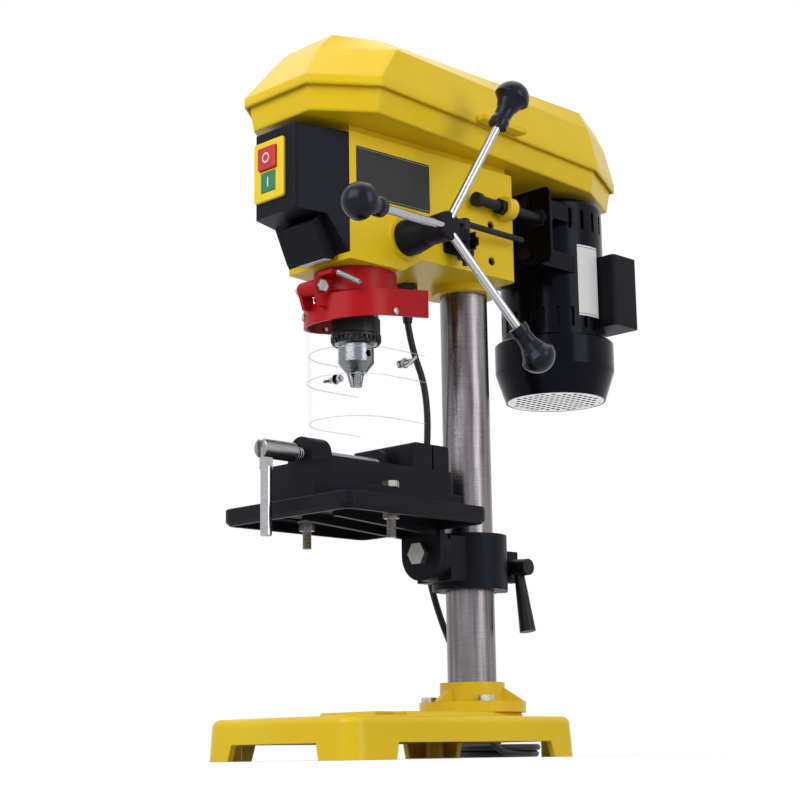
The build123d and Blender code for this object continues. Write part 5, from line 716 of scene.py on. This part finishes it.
shell = bmesh.ops.extrude_face_region(shape, geom=list(shape.faces), use_keep_orig=True)
lifted = [item for item in shell["geom"] if isinstance(item, bmesh.types.BMVert)]
bmesh.ops.translate(shape, vec=(0, 0, GRILLE_THICKNESS), verts=lifted)
rim_inside, rim_foot, rim_top = GRILLE_RADIUS - RIM_WIDTH, GRILLE_Z - RIM_BELOW, GRILLE_Z + RIM_ABOVE
rim_corners = (
    (rim_inside, rim_foot), (rim_inside, rim_top), (GRILLE_RADIUS, rim_top), (GRILLE_RADIUS, rim_foot),
)
angles = [2 * math.pi * n / RIM_SIDES for n in range(RIM_SIDES)]
loops = []
for radius, z in rim_corners:
    loops.append([
        shape.verts.new((radius * math.cos(angle), MOTOR_Y + radius * math.sin(angle), z))
        for angle in angles])
join_loops(shape, loops + loops[:1])
grille = add_piece("perforated_grille", shape, grille_zinc, "carriage")
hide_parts("fan_grille")

# blank pale label wrapped on the shell
LABEL_TURN, LABEL_Z, LABEL_WIDTH, LABEL_HEIGHT = math.radians(-5.5), 0.473, 0.028, 0.074
SHELL_RADIUS, LABEL_RADIUS, LABEL_THICKNESS = 0.0535, 0.05358, 0.0001
label_paper, place = new_finish("label_paper")
fibre = place.grain(700.0)
line = place.math("ABSOLUTE", place.along("Z") - LABEL_Z)
border = (line > 0.0345) * (line < 0.0352)
close_finish(
    place, (border * 0.9 + 0.1 * fibre).tint((0.74, 0.74, 0.74, 1), (0.10, 0.10, 0.10, 1)),
    roughness=0.42 + 0.1 * fibre, height=fibre, depth=0.0001, strength=0.1)


def on_shell(a, b, height):
    """Place on the motor's round shell, round it, up it and out from it."""
    angle = LABEL_TURN + a / SHELL_RADIUS
    reach = LABEL_RADIUS + height
    return (reach * math.cos(angle), MOTOR_Y + reach * math.sin(angle), LABEL_Z + b)


shape = bmesh.new()
columns, rows = 12, 4
grid = []
for row in range(rows + 1):
    up = LABEL_HEIGHT * (row / rows - 0.5)
    grid.append([
        shape.verts.new(on_shell(LABEL_WIDTH * (column / columns - 0.5), up, LABEL_THICKNESS))
        for column in range(columns + 1)])
for lower, upper in zip(grid[:-1], grid[1:]):
    for column in range(columns):
        shape.faces.new((lower[column], lower[column + 1], upper[column + 1], upper[column]))
bmesh.ops.solidify(shape, geom=list(shape.faces), thickness=LABEL_THICKNESS)
add_piece("blank_label", shape, label_paper, "carriage")

# ---------------------------------------------------------------- bench and light
# Pale bench top that runs out of sight, a broad soft light in front and above, a softer one from
# the right, and a plain white room.
BENCH_HALF = 6
bench_corners = [(BENCH_HALF * a, BENCH_HALF * b, 0) for a, b in ((-1, -1), (1, -1), (1, 1), (-1, 1))]
bench_mesh = bpy.data.meshes.new("bench")
bench_mesh.from_pydata(bench_corners, [], [(0, 1, 2, 3)])
bench = bpy.data.objects.new("bench", bench_mesh)
scene.collection.objects.link(bench)
bench_paint, place = new_finish("pale_bench")
seen = place.node("ShaderNodeLightPath", out="Is Camera Ray")
seen = place.math("MAXIMUM", seen, place.node("ShaderNodeLightPath", out="Is Transmission Ray"))
seen = place.math("MAXIMUM", seen, place.node("ShaderNodeLightPath", out="Is Glossy Ray"))
# it glows a little more where it gets less light, so that it is evenly white and keeps the shadow
away = place.node("ShaderNodeVectorMath", out="Value", settings={"operation": "LENGTH"}, i0=place)
level = 0.56 + 0.28 * away.between(0.3, 2.5)
close_finish(
    place, place.grain(3.0).tint((0.50, 0.50, 0.50, 1), (0.51, 0.51, 0.51, 1)), roughness=0.7,
    Emission_Color=(seen * level).tint((0, 0, 0, 1), (1, 1, 1, 1)), Emission_Strength=1.0,
    Specular_IOR_Level=0.0)
bench_mesh.materials.append(bench_paint)


def soft_light(name, spot, target, width, height, power):
    """Rectangular area light aimed at a point."""
    data = bpy.data.lights.new(name, "AREA")
    data.shape = "RECTANGLE"
    data.size, data.size_y = width, height
    data.energy = power
    lamp = bpy.data.objects.new(name, data)
    scene.collection.objects.link(lamp)
    lamp.location = spot
    lamp.rotation_mode = "QUATERNION"
    lamp.rotation_quaternion = (Vector(target) - Vector(spot)).to_track_quat("-Z", "Y")


MACHINE_MIDDLE = (0, 0, 0.35)
soft_light("key", (0.2, -1.9, 1.5), MACHINE_MIDDLE, width=1.9, height=1.5, power=35)
soft_light("side", (1.9, 0.3, 0.9), MACHINE_MIDDLE, width=0.9, height=1.6, power=15)
soft_light("top", (-0.3, 0.2, 2.0), MACHINE_MIDDLE, width=1.6, height=1.6, power=9)
room = bpy.data.worlds.new("white_room")
scene.world = room
room.use_nodes = True
room.node_tree.nodes.clear()
path = room.node_tree.nodes.new("ShaderNodeLightPath")
seen = Socket(room.node_tree, path.outputs["Is Camera Ray"])
seen = seen.math("MAXIMUM", seen, Socket(room.node_tree, path.outputs["Is Glossy Ray"]))
seen = seen.math("MAXIMUM", seen, Socket(room.node_tree, path.outputs["Is Transmission Ray"]))
glow = seen.node("ShaderNodeBackground", Color=(1, 1, 1, 1), Strength=0.35 + 0.65 * seen)
room.node_tree.links.new(glow.link, room.node_tree.nodes.new("ShaderNodeOutputWorld").inputs["Surface"])
scene.view_settings.view_transform = "Standard"
